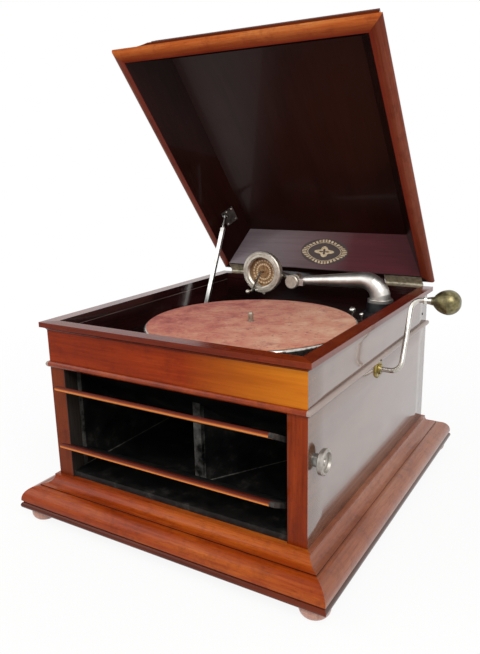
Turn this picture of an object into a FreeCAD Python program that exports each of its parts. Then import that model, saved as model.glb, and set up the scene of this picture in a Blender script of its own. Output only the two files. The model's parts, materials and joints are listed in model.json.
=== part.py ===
import FreeCAD, Part
import math
import os

import Sketcher

Vector = FreeCAD.Vector
doc = FreeCAD.newDocument("tabletop_gramophone")
sheet = doc.addObject("Spreadsheet::Sheet", "Sizes")
nodes = []


class Size:
    """A length, angle or count: its value now and the sheet expression that gives it."""

    def __init__(self, value, text):
        self.value = float(value)
        self.text = text

    def __add__(self, other):
        other = as_size(other)
        return Size(self.value + other.value, f"({self.text} + {other.text})")

    def __radd__(self, other):
        return as_size(other) + self

    def __sub__(self, other):
        other = as_size(other)
        return Size(self.value - other.value, f"({self.text} - {other.text})")

    def __rsub__(self, other):
        return as_size(other) - self

    def __mul__(self, other):
        other = as_size(other)
        return Size(self.value * other.value, f"({self.text} * {other.text})")

    def __rmul__(self, other):
        return as_size(other) * self

    def __truediv__(self, other):
        other = as_size(other)
        return Size(self.value / other.value, f"({self.text} / {other.text})")

    def __neg__(self):
        return Size(-self.value, f"(0 - {self.text})")


def as_size(value):
    return value if isinstance(value, Size) else Size(value, f"{float(value):.6f}")


def size(name, value):
    """Write one driving size into the next row of the sheet."""
    row = len(sheet.getUsedCells()) // 2 + 1
    sheet.set(f"A{row}", name)
    sheet.set(f"B{row}", str(value))
    sheet.setAlias(f"B{row}", name)
    return Size(value, f"Sizes.{name}")


def sine(angle):
    return Size(math.sin(math.radians(angle.value)), f"sin({angle.text})")


def cosine(angle):
    return Size(math.cos(math.radians(angle.value)), f"cos({angle.text})")


def tangent(angle):
    return Size(math.tan(math.radians(angle.value)), f"tan({angle.text})")


def slope_angle(rise, run):
    return Size(math.degrees(math.atan(rise.value / run.value)),
                f"(atan({rise.text} / {run.text}) / 1 deg)")


def root(square):
    return Size(math.sqrt(square.value), f"sqrt({square.text})")


def bind(thing, name, value):
    thing.setExpression(name, as_size(value).text)


def place(thing, x=0, y=0, z=0, axis=None, angle=None):
    """Bind a piece's position to the sheet, and its turn about one axis."""
    if axis is not None:
        thing.Placement = FreeCAD.Placement(Vector(0, 0, 0), FreeCAD.Rotation(Vector(*axis), 1))
        bind(thing, "Placement.Rotation.Angle", angle)
    bind(thing, "Placement.Base.x", x)
    bind(thing, "Placement.Base.y", y)
    bind(thing, "Placement.Base.z", z)
    return thing


def node(thing, label):
    thing.Label = label
    nodes.append(thing)
    return thing


def box(name, x0, x1, y0, y1, z0, z1):
    made = doc.addObject("Part::Box", name)
    bind(made, "Length", as_size(x1) - x0)
    bind(made, "Width", as_size(y1) - y0)
    bind(made, "Height", as_size(z1) - z0)
    return place(made, x0, y0, z0)


TURNS = {"x": ((0, 1, 0), 90), "y": ((1, 0, 0), -90), "z": (None, None)}


def rod(name, radius, x, y, z, length, along="z"):
    made = doc.addObject("Part::Cylinder", name)
    bind(made, "Radius", radius)
    bind(made, "Height", length)
    return place(made, x, y, z, *TURNS[along])


def ball(name, radius, x, y, z):
    made = doc.addObject("Part::Sphere", name)
    bind(made, "Radius", radius)
    return place(made, x, y, z)


def cut(name, base, *tools):
    for count, tool in enumerate(tools):
        made = doc.addObject("Part::Cut", name if count == len(tools) - 1 else f"{name}_cut")
        made.Base = base
        made.Tool = tool
        base = made
    return base


def join(name, *pieces):
    made = doc.addObject("Part::MultiFuse", name)
    made.Shapes = list(pieces)
    return made


def common(name, *pieces):
    made = doc.addObject("Part::MultiCommon", name)
    made.Shapes = list(pieces)
    return made


def group(name, *pieces):
    made = doc.addObject("Part::Compound", name)
    made.Links = list(pieces)
    return made


def point(corner):
    return Vector(as_size(corner[0]).value, as_size(corner[1]).value, 0)


def arc_between(start, end, radius, side):
    """An arc of that radius, to the left of its chord when side is 1, and whether it runs from start."""
    chord = end - start
    left = Vector(-chord.y, chord.x, 0).normalize()
    drop = math.sqrt(max(radius * radius - chord.Length * chord.Length / 4, 0))
    centre = (start + end) / 2 - left * (side * drop)
    forward = side < 0
    first, last = (start, end) if forward else (end, start)
    begin = math.atan2(first.y - centre.y, first.x - centre.x)
    finish = math.atan2(last.y - centre.y, last.x - centre.x)
    if finish < begin:
        finish += 2 * math.pi
    return Part.ArcOfCircle(Part.Circle(centre, Vector(0, 0, 1), radius), begin, finish), forward


def draw(body, name, plane, outlines):
    """A sketch of closed outlines. A corner is (across, up), and (across, up, radius, side) starts an arc."""
    planes = {feature.Role: feature for feature in body.Origin.OriginFeatures}
    sketch = body.newObject("Sketcher::SketchObject", name)
    sketch.AttachmentSupport = [(planes[plane], "")]
    sketch.MapMode = "FlatFace"
    for corners in outlines:
        first = sketch.GeometryCount
        count = len(corners)
        ends = []
        for index, corner in enumerate(corners):
            start = point(corner)
            end = point(corners[(index + 1) % count])
            if len(corner) == 4:
                arc, forward = arc_between(start, end, as_size(corner[2]).value, corner[3])
                sketch.addGeometry(arc, False)
                ends.append((1, 2) if forward else (2, 1))
            else:
                sketch.addGeometry(Part.LineSegment(start, end), False)
                ends.append((1, 2))
        ties = []
        driven = []
        for index, corner in enumerate(corners):
            after = (index + 1) % count
            own = first + index
            ties.append(Sketcher.Constraint("Coincident", own, ends[index][1], first + after,
                                            ends[after][0]))
            driven.append(None)
            spot = point(corner)
            ties.append(Sketcher.Constraint("DistanceX", -1, 1, own, ends[index][0], spot.x))
            driven.append(corner[0])
            ties.append(Sketcher.Constraint("DistanceY", -1, 1, own, ends[index][0], spot.y))
            driven.append(corner[1])
            if len(corner) == 4:
                ties.append(Sketcher.Constraint("Radius", own, as_size(corner[2]).value))
                driven.append(corner[2])
        before = sketch.ConstraintCount
        sketch.addConstraint(ties)
        for index, value in enumerate(driven):
            if value is not None:
                bind(sketch, f"Constraints[{before + index}]", value)
    return sketch


def pad(name, plane, outlines, length, both_ways=True):
    """A body padded from a sketch, to both sides of its plane or only along the plane's normal."""
    body = doc.addObject("PartDesign::Body", name)
    feature = body.newObject("PartDesign::Pad", f"{name}_pad")
    feature.Profile = draw(body, f"{name}_outline", plane, outlines)
    feature.Midplane = both_ways
    bind(feature, "Length", length)
    return body


def turned(name, outline):
    """A body turned about its own Z axis from an outline of (radius, height) corners."""
    body = doc.addObject("PartDesign::Body", name)
    sketch = draw(body, f"{name}_outline", "XZ_Plane", [outline])
    feature = body.newObject("PartDesign::Revolution", f"{name}_turn")
    feature.Profile = sketch
    feature.ReferenceAxis = (sketch, ["V_Axis"])
    feature.Angle = 360
    return body


def mirrored(corners, side, centre):
    """Corners of a moulding, given outwards from the middle, drawn on one side of that middle."""
    drawn = []
    for corner in corners:
        spot = (centre + corner[0] * side, corner[1])
        drawn.append(spot + ((corner[2], corner[3] * side) if len(corner) == 4 else ()))
    return drawn


def moulding(name, along, side, corners, inner, outer, shorter, centre=(0, 0)):
    """One mitred rail. corners are (outwards, height), inner and outer its reach from the middle, and
    shorter is how far each end stops short of that reach at the same place on the mitre."""
    across = as_size(centre[1] if along == "x" else centre[0])
    middle = as_size(centre[0] if along == "x" else centre[1])
    body = doc.addObject("PartDesign::Body", name)
    feature = body.newObject("PartDesign::Pad", f"{name}_pad")
    plane = "YZ_Plane" if along == "x" else "XZ_Plane"
    spare = outer - inner
    feature.Profile = draw(body, f"{name}_outline", plane, [mirrored(corners, side, across)])
    feature.Midplane = True
    offset = -middle if middle.value < 0 else middle
    bind(feature, "Length", 2 * (outer - shorter) + spare + 2 * offset)
    beyond = outer + 3 * spare - shorter + 2 * offset
    ends = []
    for end in (-1, 1):
        trace = [(inner - spare - shorter, inner - spare), (outer + spare - shorter, outer + spare),
                 (beyond, outer + spare), (beyond, inner - spare)]
        drawn = [(middle + end * reach, across + side * out) for reach, out in trace]
        ends.append(drawn if along == "x" else [(out, reach) for reach, out in drawn])
    mitres = body.newObject("PartDesign::Pocket", f"{name}_mitres")
    mitres.Profile = draw(body, f"{name}_mitre_lines", "XY_Plane", ends)
    mitres.Type = "ThroughAll"
    mitres.Midplane = True
    return body


def bent_tube(name, stations):
    """A tube lofted through circles. A station is (x, y, z, axis, angle, radius)."""
    circles = []
    for count, (x, y, z, axis, angle, radius) in enumerate(stations):
        circle = doc.addObject("Part::Circle", f"{name}_section_{count}")
        bind(circle, "Radius", radius)
        place(circle, x, y, z, axis, angle)
        circles.append(circle)
    tube = doc.addObject("Part::Loft", name)
    tube.Sections = circles
    tube.Solid = True
    tube.Ruled = True
    return tube


def tooth_outline(teeth, module, thickness, phase, height=0.0, scale=1.0, depth=1.0):
    """A closed wire of straight-flanked teeth, thickness being a tooth's share of the pitch."""
    pitch = teeth * module / 2
    turn = 2 * math.pi / teeth
    root_radius = (pitch - 1.15 * module * depth) * scale
    tip_radius = (pitch + 0.8 * module * depth) * scale
    corners = []
    for tooth in range(int(teeth)):
        centre = phase + tooth * turn
        for share, radius in ((-0.72, root_radius), (-0.26, tip_radius), (0.26, tip_radius),
                              (0.72, root_radius)):
            angle = centre + share * thickness * turn
            corners.append(Vector(radius * math.cos(angle), radius * math.sin(angle), height))
    return Part.makePolygon(corners + corners[:1])


def spur(teeth, module, width, phase, thickness=0.42):
    """A spur wheel standing on its own origin."""
    wire = tooth_outline(teeth, module, thickness, phase)
    return Part.Face(wire).extrude(Vector(0, 0, width))


def bevel(teeth, module, mate_teeth, width, phase, thickness=0.40):
    """A bevel wheel with its large end on the origin, narrowing upwards to where the two axes meet."""
    apex = mate_teeth * module / 2
    depth = math.hypot(teeth, mate_teeth) / mate_teeth
    large = tooth_outline(teeth, module, thickness, phase, depth=depth)
    small = tooth_outline(teeth, module, thickness, phase, width, 1 - width / apex, depth)
    return Part.makeLoft([large, small], True, True)


def solid(name, shape, x, y, z, turn=None):
    """A feature that carries a shape made from the sheet's sizes."""
    made = doc.addObject("Part::Feature", name)
    made.Shape = shape
    rotation = turn if turn else FreeCAD.Rotation()
    made.Placement = FreeCAD.Placement(Vector(as_size(x).value, as_size(y).value, as_size(z).value),
                                       rotation)
    return made


# Driving sizes of the case.
body_width = size("body_width", 382)
body_depth = size("body_depth", 444)
foot_height = size("foot_height", 17)
foot_radius = size("foot_radius", 15)
foot_inset = size("foot_inset", 24)
plinth_height = size("plinth_height", 46)
plinth_overhang = size("plinth_overhang", 42)
plinth_depth = size("plinth_depth", 68)
carcass_height = size("carcass_height", 208)
apron_height = size("apron_height", 50.5)
apron_thickness = size("apron_thickness", 22)
panel_thickness = size("panel_thickness", 12)
post_width = size("post_width", 25)
bead_height = size("bead_height", 7.5)
bead_overhang = size("bead_overhang", 4.3)
rim_height = size("rim_height", 11.4)
rim_overhang = size("rim_overhang", 7)
rim_fascia = size("rim_fascia", 6.8)
floor_thickness = size("floor_thickness", 8)
well_depth = size("well_depth", 43.4)
board_thickness = size("board_thickness", 12)
running_gap = size("running_gap", 0.08)
free_gap = size("free_gap", 0.4)

half_width = body_width / 2
half_depth = body_depth / 2
front = -half_depth
plinth_bottom = foot_height
body_bottom = foot_height + plinth_height
rim_bottom = body_bottom + carcass_height
rim_top = rim_bottom + rim_height
apron_bottom = rim_bottom - apron_height
board_top = rim_top - well_depth
board_bottom = board_top - board_thickness
floor_top = body_bottom + floor_thickness
panel_in = half_width - panel_thickness
back_in = half_depth - panel_thickness
post_in = half_width - post_width
post_back = front + apron_thickness


def plinth_corners(face):
    """Ogee plinth outwards from a carcass face: bead, groove, ovolo, fillet, cavetto and ledge."""
    out = face + plinth_overhang
    low = plinth_bottom
    top = body_bottom
    return [(out - plinth_depth, low), (out - 4, low, 4.8, -1), (out - 4, low + 9), (out - 4, low + 11),
            (out - 2, low + 11.5, 18.5, -1), (out - 20, top - 15), (out - 21.5, top - 15),
            (out - 21.5, top - 13), (out - 24, top - 13, 12.5, 1), (out - 36.5, top - 3),
            (out - 36.5, top), (out - plinth_depth, top)]


def rim_corners(face):
    """Rim outwards from a carcass face: cove below, upright fascia, flat top."""
    out = face + rim_overhang
    cove = rim_height - rim_fascia
    return [(face - panel_thickness, rim_bottom), (face, rim_bottom, 7.5, 1), (out, rim_bottom + cove),
            (out, rim_top), (face - panel_thickness, rim_top)]


def bead_corners(face):
    """Half-round bead on a carcass face."""
    low = apron_bottom
    flat = face + bead_overhang - 2.1
    return [(face, low), (flat, low, 4.4, -1), (flat, low + bead_height), (face, low + bead_height)]


# Each frame is four mitred rails: front and back run along X, left and right along Y.
SIDES = {"front": ("x", -1), "back": ("x", 1), "left": ("y", -1), "right": ("y", 1)}
plinths = {}
rims = {}
for where, (along, side) in SIDES.items():
    face = half_depth if along == "x" else half_width
    shorter = (half_depth - half_width) if along == "x" else (half_width - half_depth)
    reach = face + plinth_overhang
    plinths[where] = moulding(f"plinth_{where}", along, side, plinth_corners(face), reach - plinth_depth,
                              reach, shorter)
    node(plinths[where], f"plinth_{where}")
    rims[where] = moulding(f"rim_{where}_rail", along, side, rim_corners(face), face - panel_thickness,
                           face + rim_overhang, shorter)
bead_rails = []
for where in ("front", "left", "right"):
    along, side = SIDES[where]
    face = half_depth if along == "x" else half_width
    shorter = (half_depth - half_width) if along == "x" else (half_width - half_depth)
    bead_rails.append(moulding(f"bead_{where}", along, side, bead_corners(face), face, face + bead_overhang,
                               shorter))

foot_x = half_width + plinth_overhang - foot_inset
foot_y = half_depth + plinth_overhang - foot_inset
feet = []
for count, (along_x, along_y) in enumerate(((-1, -1), (1, -1), (1, 1), (-1, 1))):
    foot = turned(f"foot_{count}", [(0, 0), (foot_radius - 4, 0, 10, -1), (foot_radius, foot_height),
                                    (0, foot_height)])
    feet.append(place(foot, foot_x * along_x, foot_y * along_y, 0))
node(group("feet", *feet), "feet")

# Crank bearing and tone-leaf positions, which several boards are bored for.
crank_y = size("crank_y", -7)
crank_drop = size("crank_drop", 15)
crank_rod_radius = size("crank_rod_radius", 3.4)
leaf_pivot_in = size("leaf_pivot_in", 14.2)
leaf_pivot_radius = size("leaf_pivot_radius", 2.4)
leaf_low_rise = size("leaf_low_rise", 30)
leaf_spacing = size("leaf_spacing", 81.2)
knob_rise = size("knob_rise", 65)
knob_shaft_radius = size("knob_shaft_radius", 4)
crank_height = board_bottom - crank_drop
leaf_y = front + leaf_pivot_in
leaf_low_height = floor_top + leaf_low_rise
leaf_high_height = leaf_low_height + leaf_spacing
knob_height = leaf_low_height + knob_rise
pivot_depth = size("pivot_depth", 9)

floor_board = box("floor_whole", -panel_in, panel_in, front + 3, back_in, body_bottom, floor_top)
corners = [box(f"floor_notch_{side}", half_width * side - post_width, half_width * side + post_width,
               front, post_back, body_bottom - 1, floor_top + 1) for side in (-1, 1)]
node(cut("floor_board", floor_board, *corners), "floor_board")

left_panel = box("side_panel_left", -half_width, -panel_in, post_back, back_in, body_bottom, rim_bottom)
node(left_panel, "side_panel_left")
right_board = box("side_panel_board", panel_in, half_width, post_back, back_in, body_bottom, rim_bottom)
crank_hole_radius = crank_rod_radius + 2
crank_hole = rod("crank_hole", crank_hole_radius, panel_in - 1, crank_y, crank_height, panel_thickness + 2,
                 "x")
node(cut("side_panel_right", right_board, crank_hole), "side_panel_right")
node(box("back_panel", -half_width, half_width, back_in, half_depth, body_bottom, rim_bottom), "back_panel")
node(box("apron", -half_width, half_width, front, post_back, apron_bottom, rim_bottom), "apron")
for where, side in (("left", -1), ("right", 1)):
    low_x = post_in if side == 1 else -half_width
    post = box(f"post_{where}_whole", low_x, low_x + post_width, front, post_back, body_bottom,
               apron_bottom)
    mouth_x = post_in - 1 if side == 1 else -post_in - pivot_depth
    bores = [rod(f"post_{where}_bore_{count}", leaf_pivot_radius + running_gap, mouth_x, leaf_y, height,
                 pivot_depth + 1, "x")
             for count, height in enumerate((leaf_low_height, leaf_high_height))]
    if side == 1:
        bores.append(rod("knob_bore", knob_shaft_radius + running_gap, post_in - 1, leaf_y, knob_height,
                         post_width + 2, "x"))
    node(cut(f"post_{where}", post, *bores), f"post_{where}")

# Lid: four slanted, mitred mouldings round a raised top panel, hung on two butt hinges behind the rim.
lid_gap = size("lid_gap", 0.6)
lid_setback = size("lid_setback", 7)
lid_depth = size("lid_depth", 58)
lid_lip = size("lid_lip", 8.5)
lid_cove = size("lid_cove", 160)
lid_rail_foot = size("lid_rail_foot", 17.5)
lid_rail_lean = size("lid_rail_lean", 34)
lid_rail_head = size("lid_rail_head", 22)
lid_panel_inset = size("lid_panel_inset", 24.5)
lid_panel_thickness = size("lid_panel_thickness", 12)
lid_panel_step = size("lid_panel_step", 2.2)
lid_open_angle = size("lid_open_angle", 50.7)
hinge_pin_radius = size("hinge_pin_radius", 1.5)
hinge_knuckle_radius = size("hinge_knuckle_radius", 3)
hinge_leaf_thickness = size("hinge_leaf_thickness", 1.5)
hinge_leaf_width = size("hinge_leaf_width", 16)
hinge_length = size("hinge_length", 62)
hinge_inset = size("hinge_inset", 48)

rim_front_y = half_depth + rim_overhang
pin_y = rim_front_y + hinge_knuckle_radius
pin_z = rim_top + lid_gap / 2
lid_bottom = lid_gap / 2
lid_top = lid_bottom + lid_depth
lid_half_width = half_width + rim_overhang
lid_half_depth = rim_front_y - lid_setback / 2
lid_centre = lid_setback / 2 - pin_y
hinge_x = lid_half_width - hinge_inset


def lid_place(piece):
    """Turn a lid piece, modelled closed about the hinge pin, to the open lid."""
    return place(piece, 0, pin_y, pin_z, (-1, 0, 0), lid_open_angle)


def lid_corners(face):
    """Slanted moulding inwards from the lid's edge: round lip, shallow cove, flat head, slanted inside."""
    return [(face - lid_rail_foot, lid_bottom), (face - lid_lip, lid_bottom, lid_lip, -1),
            (face, lid_bottom + lid_lip, lid_cove, 1), (face - lid_rail_head, lid_top),
            (face - lid_rail_foot - lid_rail_lean, lid_top)]


lid_rails = {}
for where, (along, side) in SIDES.items():
    face = lid_half_depth if along == "x" else lid_half_width
    shorter = (lid_half_depth - lid_half_width) if along == "x" else (lid_half_width - lid_half_depth)
    rail = moulding(f"lid_{where}_rail", along, side, lid_corners(face),
                    face - lid_rail_foot - lid_rail_lean,
                    face, shorter, (0, lid_centre))
    lid_rails[where] = rail
panel_x = lid_half_width - lid_panel_inset
panel_y = lid_half_depth - lid_panel_inset
field_x = panel_x - lid_panel_step
field_y = panel_y - lid_panel_step
field_bottom = lid_top + lid_panel_thickness * 0.6
lid_board = box("lid_board", -panel_x, panel_x, lid_centre - panel_y, lid_centre + panel_y, lid_top,
                field_bottom)
lid_field = box("lid_field", -field_x, field_x, lid_centre - field_y, lid_centre + field_y, field_bottom,
                lid_top + lid_panel_thickness)
node(lid_place(join("lid_panel", lid_board, lid_field)), "lid_panel")

# Butt hinges: each has three knuckles on the rim leaf, two on the lid leaf, and a pin through all.
knuckle = hinge_length / 5
leaf_near = -(hinge_leaf_width + hinge_knuckle_radius)
rim_leaves = []
lid_leaves = []
rim_mortises = []
lid_mortises = []
for side in (-1, 1):
    x0 = hinge_x * side - hinge_length / 2
    low = -(lid_gap / 2 + hinge_leaf_thickness)
    rim_plate = box(f"rim_leaf_{side}", x0, x0 + hinge_length, leaf_near, -hinge_knuckle_radius, low,
                    -lid_gap / 2)
    lid_plate = box(f"lid_leaf_{side}", x0, x0 + hinge_length, leaf_near, -hinge_knuckle_radius, lid_bottom,
                    lid_bottom + hinge_leaf_thickness)
    rim_mortises.append(box(f"rim_mortise_{side}", x0, x0 + hinge_length, leaf_near, 1, low,
                            hinge_leaf_thickness))
    lid_mortises.append(box(f"lid_mortise_{side}", x0, x0 + hinge_length, leaf_near, 1,
                            -hinge_leaf_thickness,
                            lid_bottom + hinge_leaf_thickness))
    for count in range(5):
        start = x0 + knuckle * count
        eye = rod(f"knuckle_{side}_{count}", hinge_knuckle_radius, start + 0.15, 0, 0, knuckle - 0.3, "x")
        owner = rim_leaves if count % 2 == 0 else lid_leaves
        plate = rim_plate if count % 2 == 0 else lid_plate
        tail_z = (low, -lid_gap / 2) if count % 2 == 0 else (lid_bottom, lid_bottom + hinge_leaf_thickness)
        tail = box(f"knuckle_tail_{side}_{count}", start + 0.15, start + knuckle - 0.15,
                   -hinge_knuckle_radius - 0.5, 0, *tail_z)
        bore_radius = hinge_pin_radius + (running_gap if count % 2 else 0)
        bore = rod(f"knuckle_bore_{side}_{count}", bore_radius, start, 0, 0, knuckle, "x")
        owner.append((side, cut(f"knuckle_eye_{side}_{count}",
                                join(f"knuckle_whole_{side}_{count}", eye, tail), bore)))
    rim_leaves.append((side, rim_plate))
    lid_leaves.append((side, lid_plate))
    rim_leaves.append((side, rod(f"hinge_pin_{side}", hinge_pin_radius, x0, 0, 0, hinge_length, "x")))
rim_hinges = [join(f"rim_hinge_{side}", *[piece for where, piece in rim_leaves if where == side])
              for side in (-1, 1)]
lid_hinges = [join(f"lid_hinge_{side}", *[piece for where, piece in lid_leaves if where == side])
              for side in (-1, 1)]
node(place(group("hinge_rim_leaves", *rim_hinges), 0, pin_y, pin_z), "hinge_rim_leaves")
node(lid_place(group("hinge_lid_leaves", *lid_hinges)), "hinge_lid_leaves")

placed_mortises = place(group("rim_mortises", *rim_mortises), 0, pin_y, pin_z)
node(cut("rim_back", rims["back"], placed_mortises), "rim_back")
for where in ("front", "left", "right"):
    node(rims[where], f"rim_{where}")
    node(lid_place(lid_rails[where]), f"lid_{where}")
node(lid_place(cut("lid_back", lid_rails["back"], *lid_mortises)), "lid_back")

# Lid stay: a bracket on the lid's left inner wall and a channel bar that slides through the motor board.
stay_u = size("stay_u", 118)
stay_n = size("stay_n", 25)
stay_reach = size("stay_reach", 7.9)
stay_tilt = size("stay_tilt", 25.7)
stay_length = size("stay_length", 176)
stay_width = size("stay_width", 7)
stay_flange = size("stay_flange", 5)
stay_wall = size("stay_wall", 1.2)
stay_pin_radius = size("stay_pin_radius", 1.8)
bracket_length = size("bracket_length", 30)
bracket_height = size("bracket_height", 24)
bracket_thickness = size("bracket_thickness", 2)

wall_lean = slope_angle(lid_rail_lean, lid_depth)
wall_x = -(lid_half_width - lid_rail_foot) + stay_n * lid_rail_lean / lid_depth
stay_x = wall_x + stay_reach
bracket_plate = box("bracket_plate", 0, bracket_thickness, -bracket_length / 2, bracket_length / 2, -4,
                    bracket_height - 4)
place(bracket_plate, wall_x + 0.05, -stay_u, stay_n + lid_bottom, (0, 1, 0), wall_lean)
bracket_plate.setExpression("Placement.Base.y", (-stay_u - bracket_length / 2 + 10).text)
bracket_pin = rod("bracket_pin", stay_pin_radius, wall_x + 1.4, -stay_u, stay_n,
                  stay_x + stay_width / 2 + 0.5 - wall_x, "x")
node(lid_place(join("stay_bracket", bracket_plate, bracket_pin)), "stay_bracket")

lid_cos = cosine(lid_open_angle)
lid_sin = sine(lid_open_angle)
stay_y = pin_y - stay_u * lid_cos + stay_n * lid_sin
stay_z = pin_z + stay_u * lid_sin + stay_n * lid_cos
bar_half = stay_width / 2
half_flange = stay_flange / 2
web_top = stay_wall - half_flange
web_end = bar_half - stay_wall
channel = [(-bar_half, -half_flange), (bar_half, -half_flange), (bar_half, half_flange),
           (web_end, half_flange), (web_end, web_top), (-web_end, web_top), (-web_end, half_flange),
           (-bar_half, half_flange)]
bar = pad("stay_channel", "XY_Plane", [channel], stay_length - 22, False)
place(bar, 0, 0, -stay_length)
neck = box("stay_neck", -stay_wall, stay_wall, -stay_flange / 2, stay_flange / 2, -24, 0)
eye = rod("stay_eye", stay_pin_radius + 2.4, -stay_wall, 0, 0, stay_wall * 2, "x")
eye_bore = rod("stay_eye_bore", stay_pin_radius + running_gap, -stay_width, 0, 0, stay_width * 2, "x")
stay = cut("stay_bar", join("stay_bar_whole", bar, neck, eye), eye_bore)
node(place(stay, stay_x, stay_y, stay_z, (-1, 0, 0), stay_tilt), "stay_bar")
stay_slot_y = stay_y - (stay_z - board_top) * tangent(stay_tilt)

# Turntable and its vertical spindle.
spindle_x = size("spindle_x", 7)
spindle_y = size("spindle_y", -23)
turntable_radius = size("turntable_radius", 152.4)
turntable_rim = size("turntable_rim", 13)
turntable_wall = size("turntable_wall", 2)
felt_rise = size("felt_rise", 22)
felt_thickness = size("felt_thickness", 1.5)
spindle_radius = size("spindle_radius", 5)
centre_pin_radius = size("centre_pin_radius", 3.6)
centre_pin_length = size("centre_pin_length", 13)
hub_pin_radius = size("hub_pin_radius", 4)
pin_tip = size("pin_tip", 2.5)
motor_depth = size("motor_depth", 88)

spindle_foot = board_bottom - motor_depth
felt_top = board_top + felt_rise
hub_bore = hub_pin_radius + free_gap
plate_top = felt_top - felt_thickness
hub_radius = spindle_radius + 8
rim_inside = turntable_radius - turntable_wall - 1.5
rim_low = plate_top - turntable_rim
platter_outline = [(hub_bore, plate_top - 14), (hub_radius, plate_top - 14), (hub_radius, plate_top - 6),
                   (hub_radius + 8, plate_top - turntable_wall), (rim_inside, plate_top - turntable_wall),
                   (rim_inside, rim_low), (turntable_radius - 1, rim_low), (turntable_radius, rim_low + 1),
                   (turntable_radius, plate_top - 3, 3, -1), (turntable_radius - 2.6, plate_top),
                   (hub_bore, plate_top)]
platter = turned("turntable", platter_outline)
node(place(platter, spindle_x, spindle_y, 0), "turntable")
felt = turned("turntable_felt", [(hub_bore, plate_top), (turntable_radius - 3, plate_top),
              (turntable_radius - 3.6, felt_top), (hub_bore, felt_top)])
node(place(felt, spindle_x, spindle_y, 0), "turntable_felt")

# Tonearm: black base casting with its throat, and a tapered arm bent over from the upright.
arm_side_gap = size("arm_side_gap", 50)
arm_back_gap = size("arm_back_gap", 32)
arm_radius = size("arm_radius", 16.7)
arm_neck_radius = size("arm_neck_radius", 13.3)
arm_tip_radius = size("arm_tip_radius", 7.5)
arm_wall = size("arm_wall", 2.8)
arm_bend = size("arm_bend", 28)
arm_fall = size("arm_fall", 4.6)
arm_rise = size("arm_rise", 57.5)
arm_reach = size("arm_reach", 137.5)
base_radius = size("base_radius", 30)
base_height = size("base_height", 22)
throat_bend = size("throat_bend", 36)
throat_bore = size("throat_bore", 13)
throat_cover = size("throat_cover", 18)
horn_setback = size("horn_setback", 48)
horn_wall = size("horn_wall", 5)
roof_thickness = size("roof_thickness", 5)
roof_drop = size("roof_drop", 8)
roof_fall = size("roof_fall", 16)
frame_thickness = size("frame_thickness", 4)

arm_x = panel_in - arm_side_gap
arm_y = back_in - arm_back_gap
arm_corner_height = board_top + arm_rise
horn_back_y = arm_y - horn_setback
plate_low = spindle_foot - frame_thickness
roof_bend_height = plate_low - roof_drop - roof_thickness
roof_back_height = roof_bend_height - roof_fall
throat_height = roof_back_height - throat_cover
arm_seat = board_top + base_height
spigot_radius = arm_radius - 1.5
turn_angle = 90 + arm_fall
arm_tangent = arm_bend * tangent(turn_angle / 2)
bend_start = arm_corner_height - arm_tangent


def arm_stations(inner):
    """Circles up the upright, round the narrowing bend and along the taper, less the wall when inner."""
    less = arm_wall if inner else as_size(0)
    spare = as_size(1 if inner else 0)
    stations = [(arm_x, arm_y, arm_seat - spare, (0, 1, 0), as_size(0), arm_radius - less),
                (arm_x, arm_y, bend_start, (0, 1, 0), as_size(0), arm_radius - less)]
    steps = 8
    narrowing = (arm_radius - arm_neck_radius) / steps
    for count in range(1, steps + 1):
        angle = turn_angle * count / steps
        x = arm_x - arm_bend * (1 - cosine(angle))
        z = bend_start + arm_bend * sine(angle)
        stations.append((x, arm_y, z, (0, -1, 0), angle, arm_radius - narrowing * count - less))
    end_x = arm_x - arm_reach - spare
    end_z = arm_corner_height - (arm_reach + spare) * tangent(arm_fall)
    stations.append((end_x, arm_y, end_z, (0, -1, 0), turn_angle, arm_tip_radius - less))
    return stations


joint_offset = size("joint_offset", 13.5)
joint_radius = size("joint_radius", 11)
yoke_radius = size("yoke_radius", 10)
yoke_length = size("yoke_length", 9.2)
yoke_offset = size("yoke_offset", 2.8)
joint_pin_radius = size("joint_pin_radius", 5)
joint_gap = size("joint_gap", 0.4)
joint_x = arm_x - arm_reach - joint_offset
joint_z = arm_corner_height - (arm_reach + joint_offset) * tangent(arm_fall)
yoke_back = arm_y - yoke_offset
yoke_front = yoke_back - yoke_length
arm_spigot = rod("arm_spigot", spigot_radius, arm_x, arm_y, arm_seat - base_height + 4, base_height - 4)
arm_bore = rod("arm_spigot_bore", arm_radius - arm_wall, arm_x, arm_y, arm_seat - base_height + 3,
               base_height)
arm_collar = rod("arm_collar", arm_radius + 3.5, arm_x, arm_y, arm_seat + 0.3, 4.5)
arm_outside = join("arm_outside", bent_tube("arm_skin", arm_stations(False)), arm_spigot, arm_collar)
joint_yoke = rod("joint_yoke", yoke_radius, joint_x, yoke_front, joint_z, yoke_length, "y")
joint_lug = box("joint_lug", joint_x + yoke_radius / 2, joint_x + joint_offset + 6, yoke_front + 1,
                yoke_back, joint_z - 6, joint_z + 6)
joint_bore = rod("joint_bore", joint_pin_radius + running_gap, joint_x, yoke_front - 1, joint_z,
                 yoke_length + 2, "y")
arm_hollow = cut("arm_hollow", arm_outside, bent_tube("arm_core", arm_stations(True)), arm_bore)
node(cut("tonearm", join("arm_with_yoke", arm_hollow, joint_yoke, joint_lug), joint_bore), "tonearm")

throat_radius = throat_bore + 2
spigot_bore = spigot_radius + running_gap
flange_floor = board_top + 2.5
flange_outline = [(throat_radius - 1, board_top), (base_radius, board_top), (base_radius, board_top + 3),
                  (arm_radius + 6, board_top + 8), (arm_radius + 4, arm_seat), (spigot_bore, arm_seat),
                  (spigot_bore, flange_floor), (throat_radius - 1, flange_floor)]
base_flange = turned("base_flange", flange_outline)
place(base_flange, arm_x, arm_y, 0)


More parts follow.
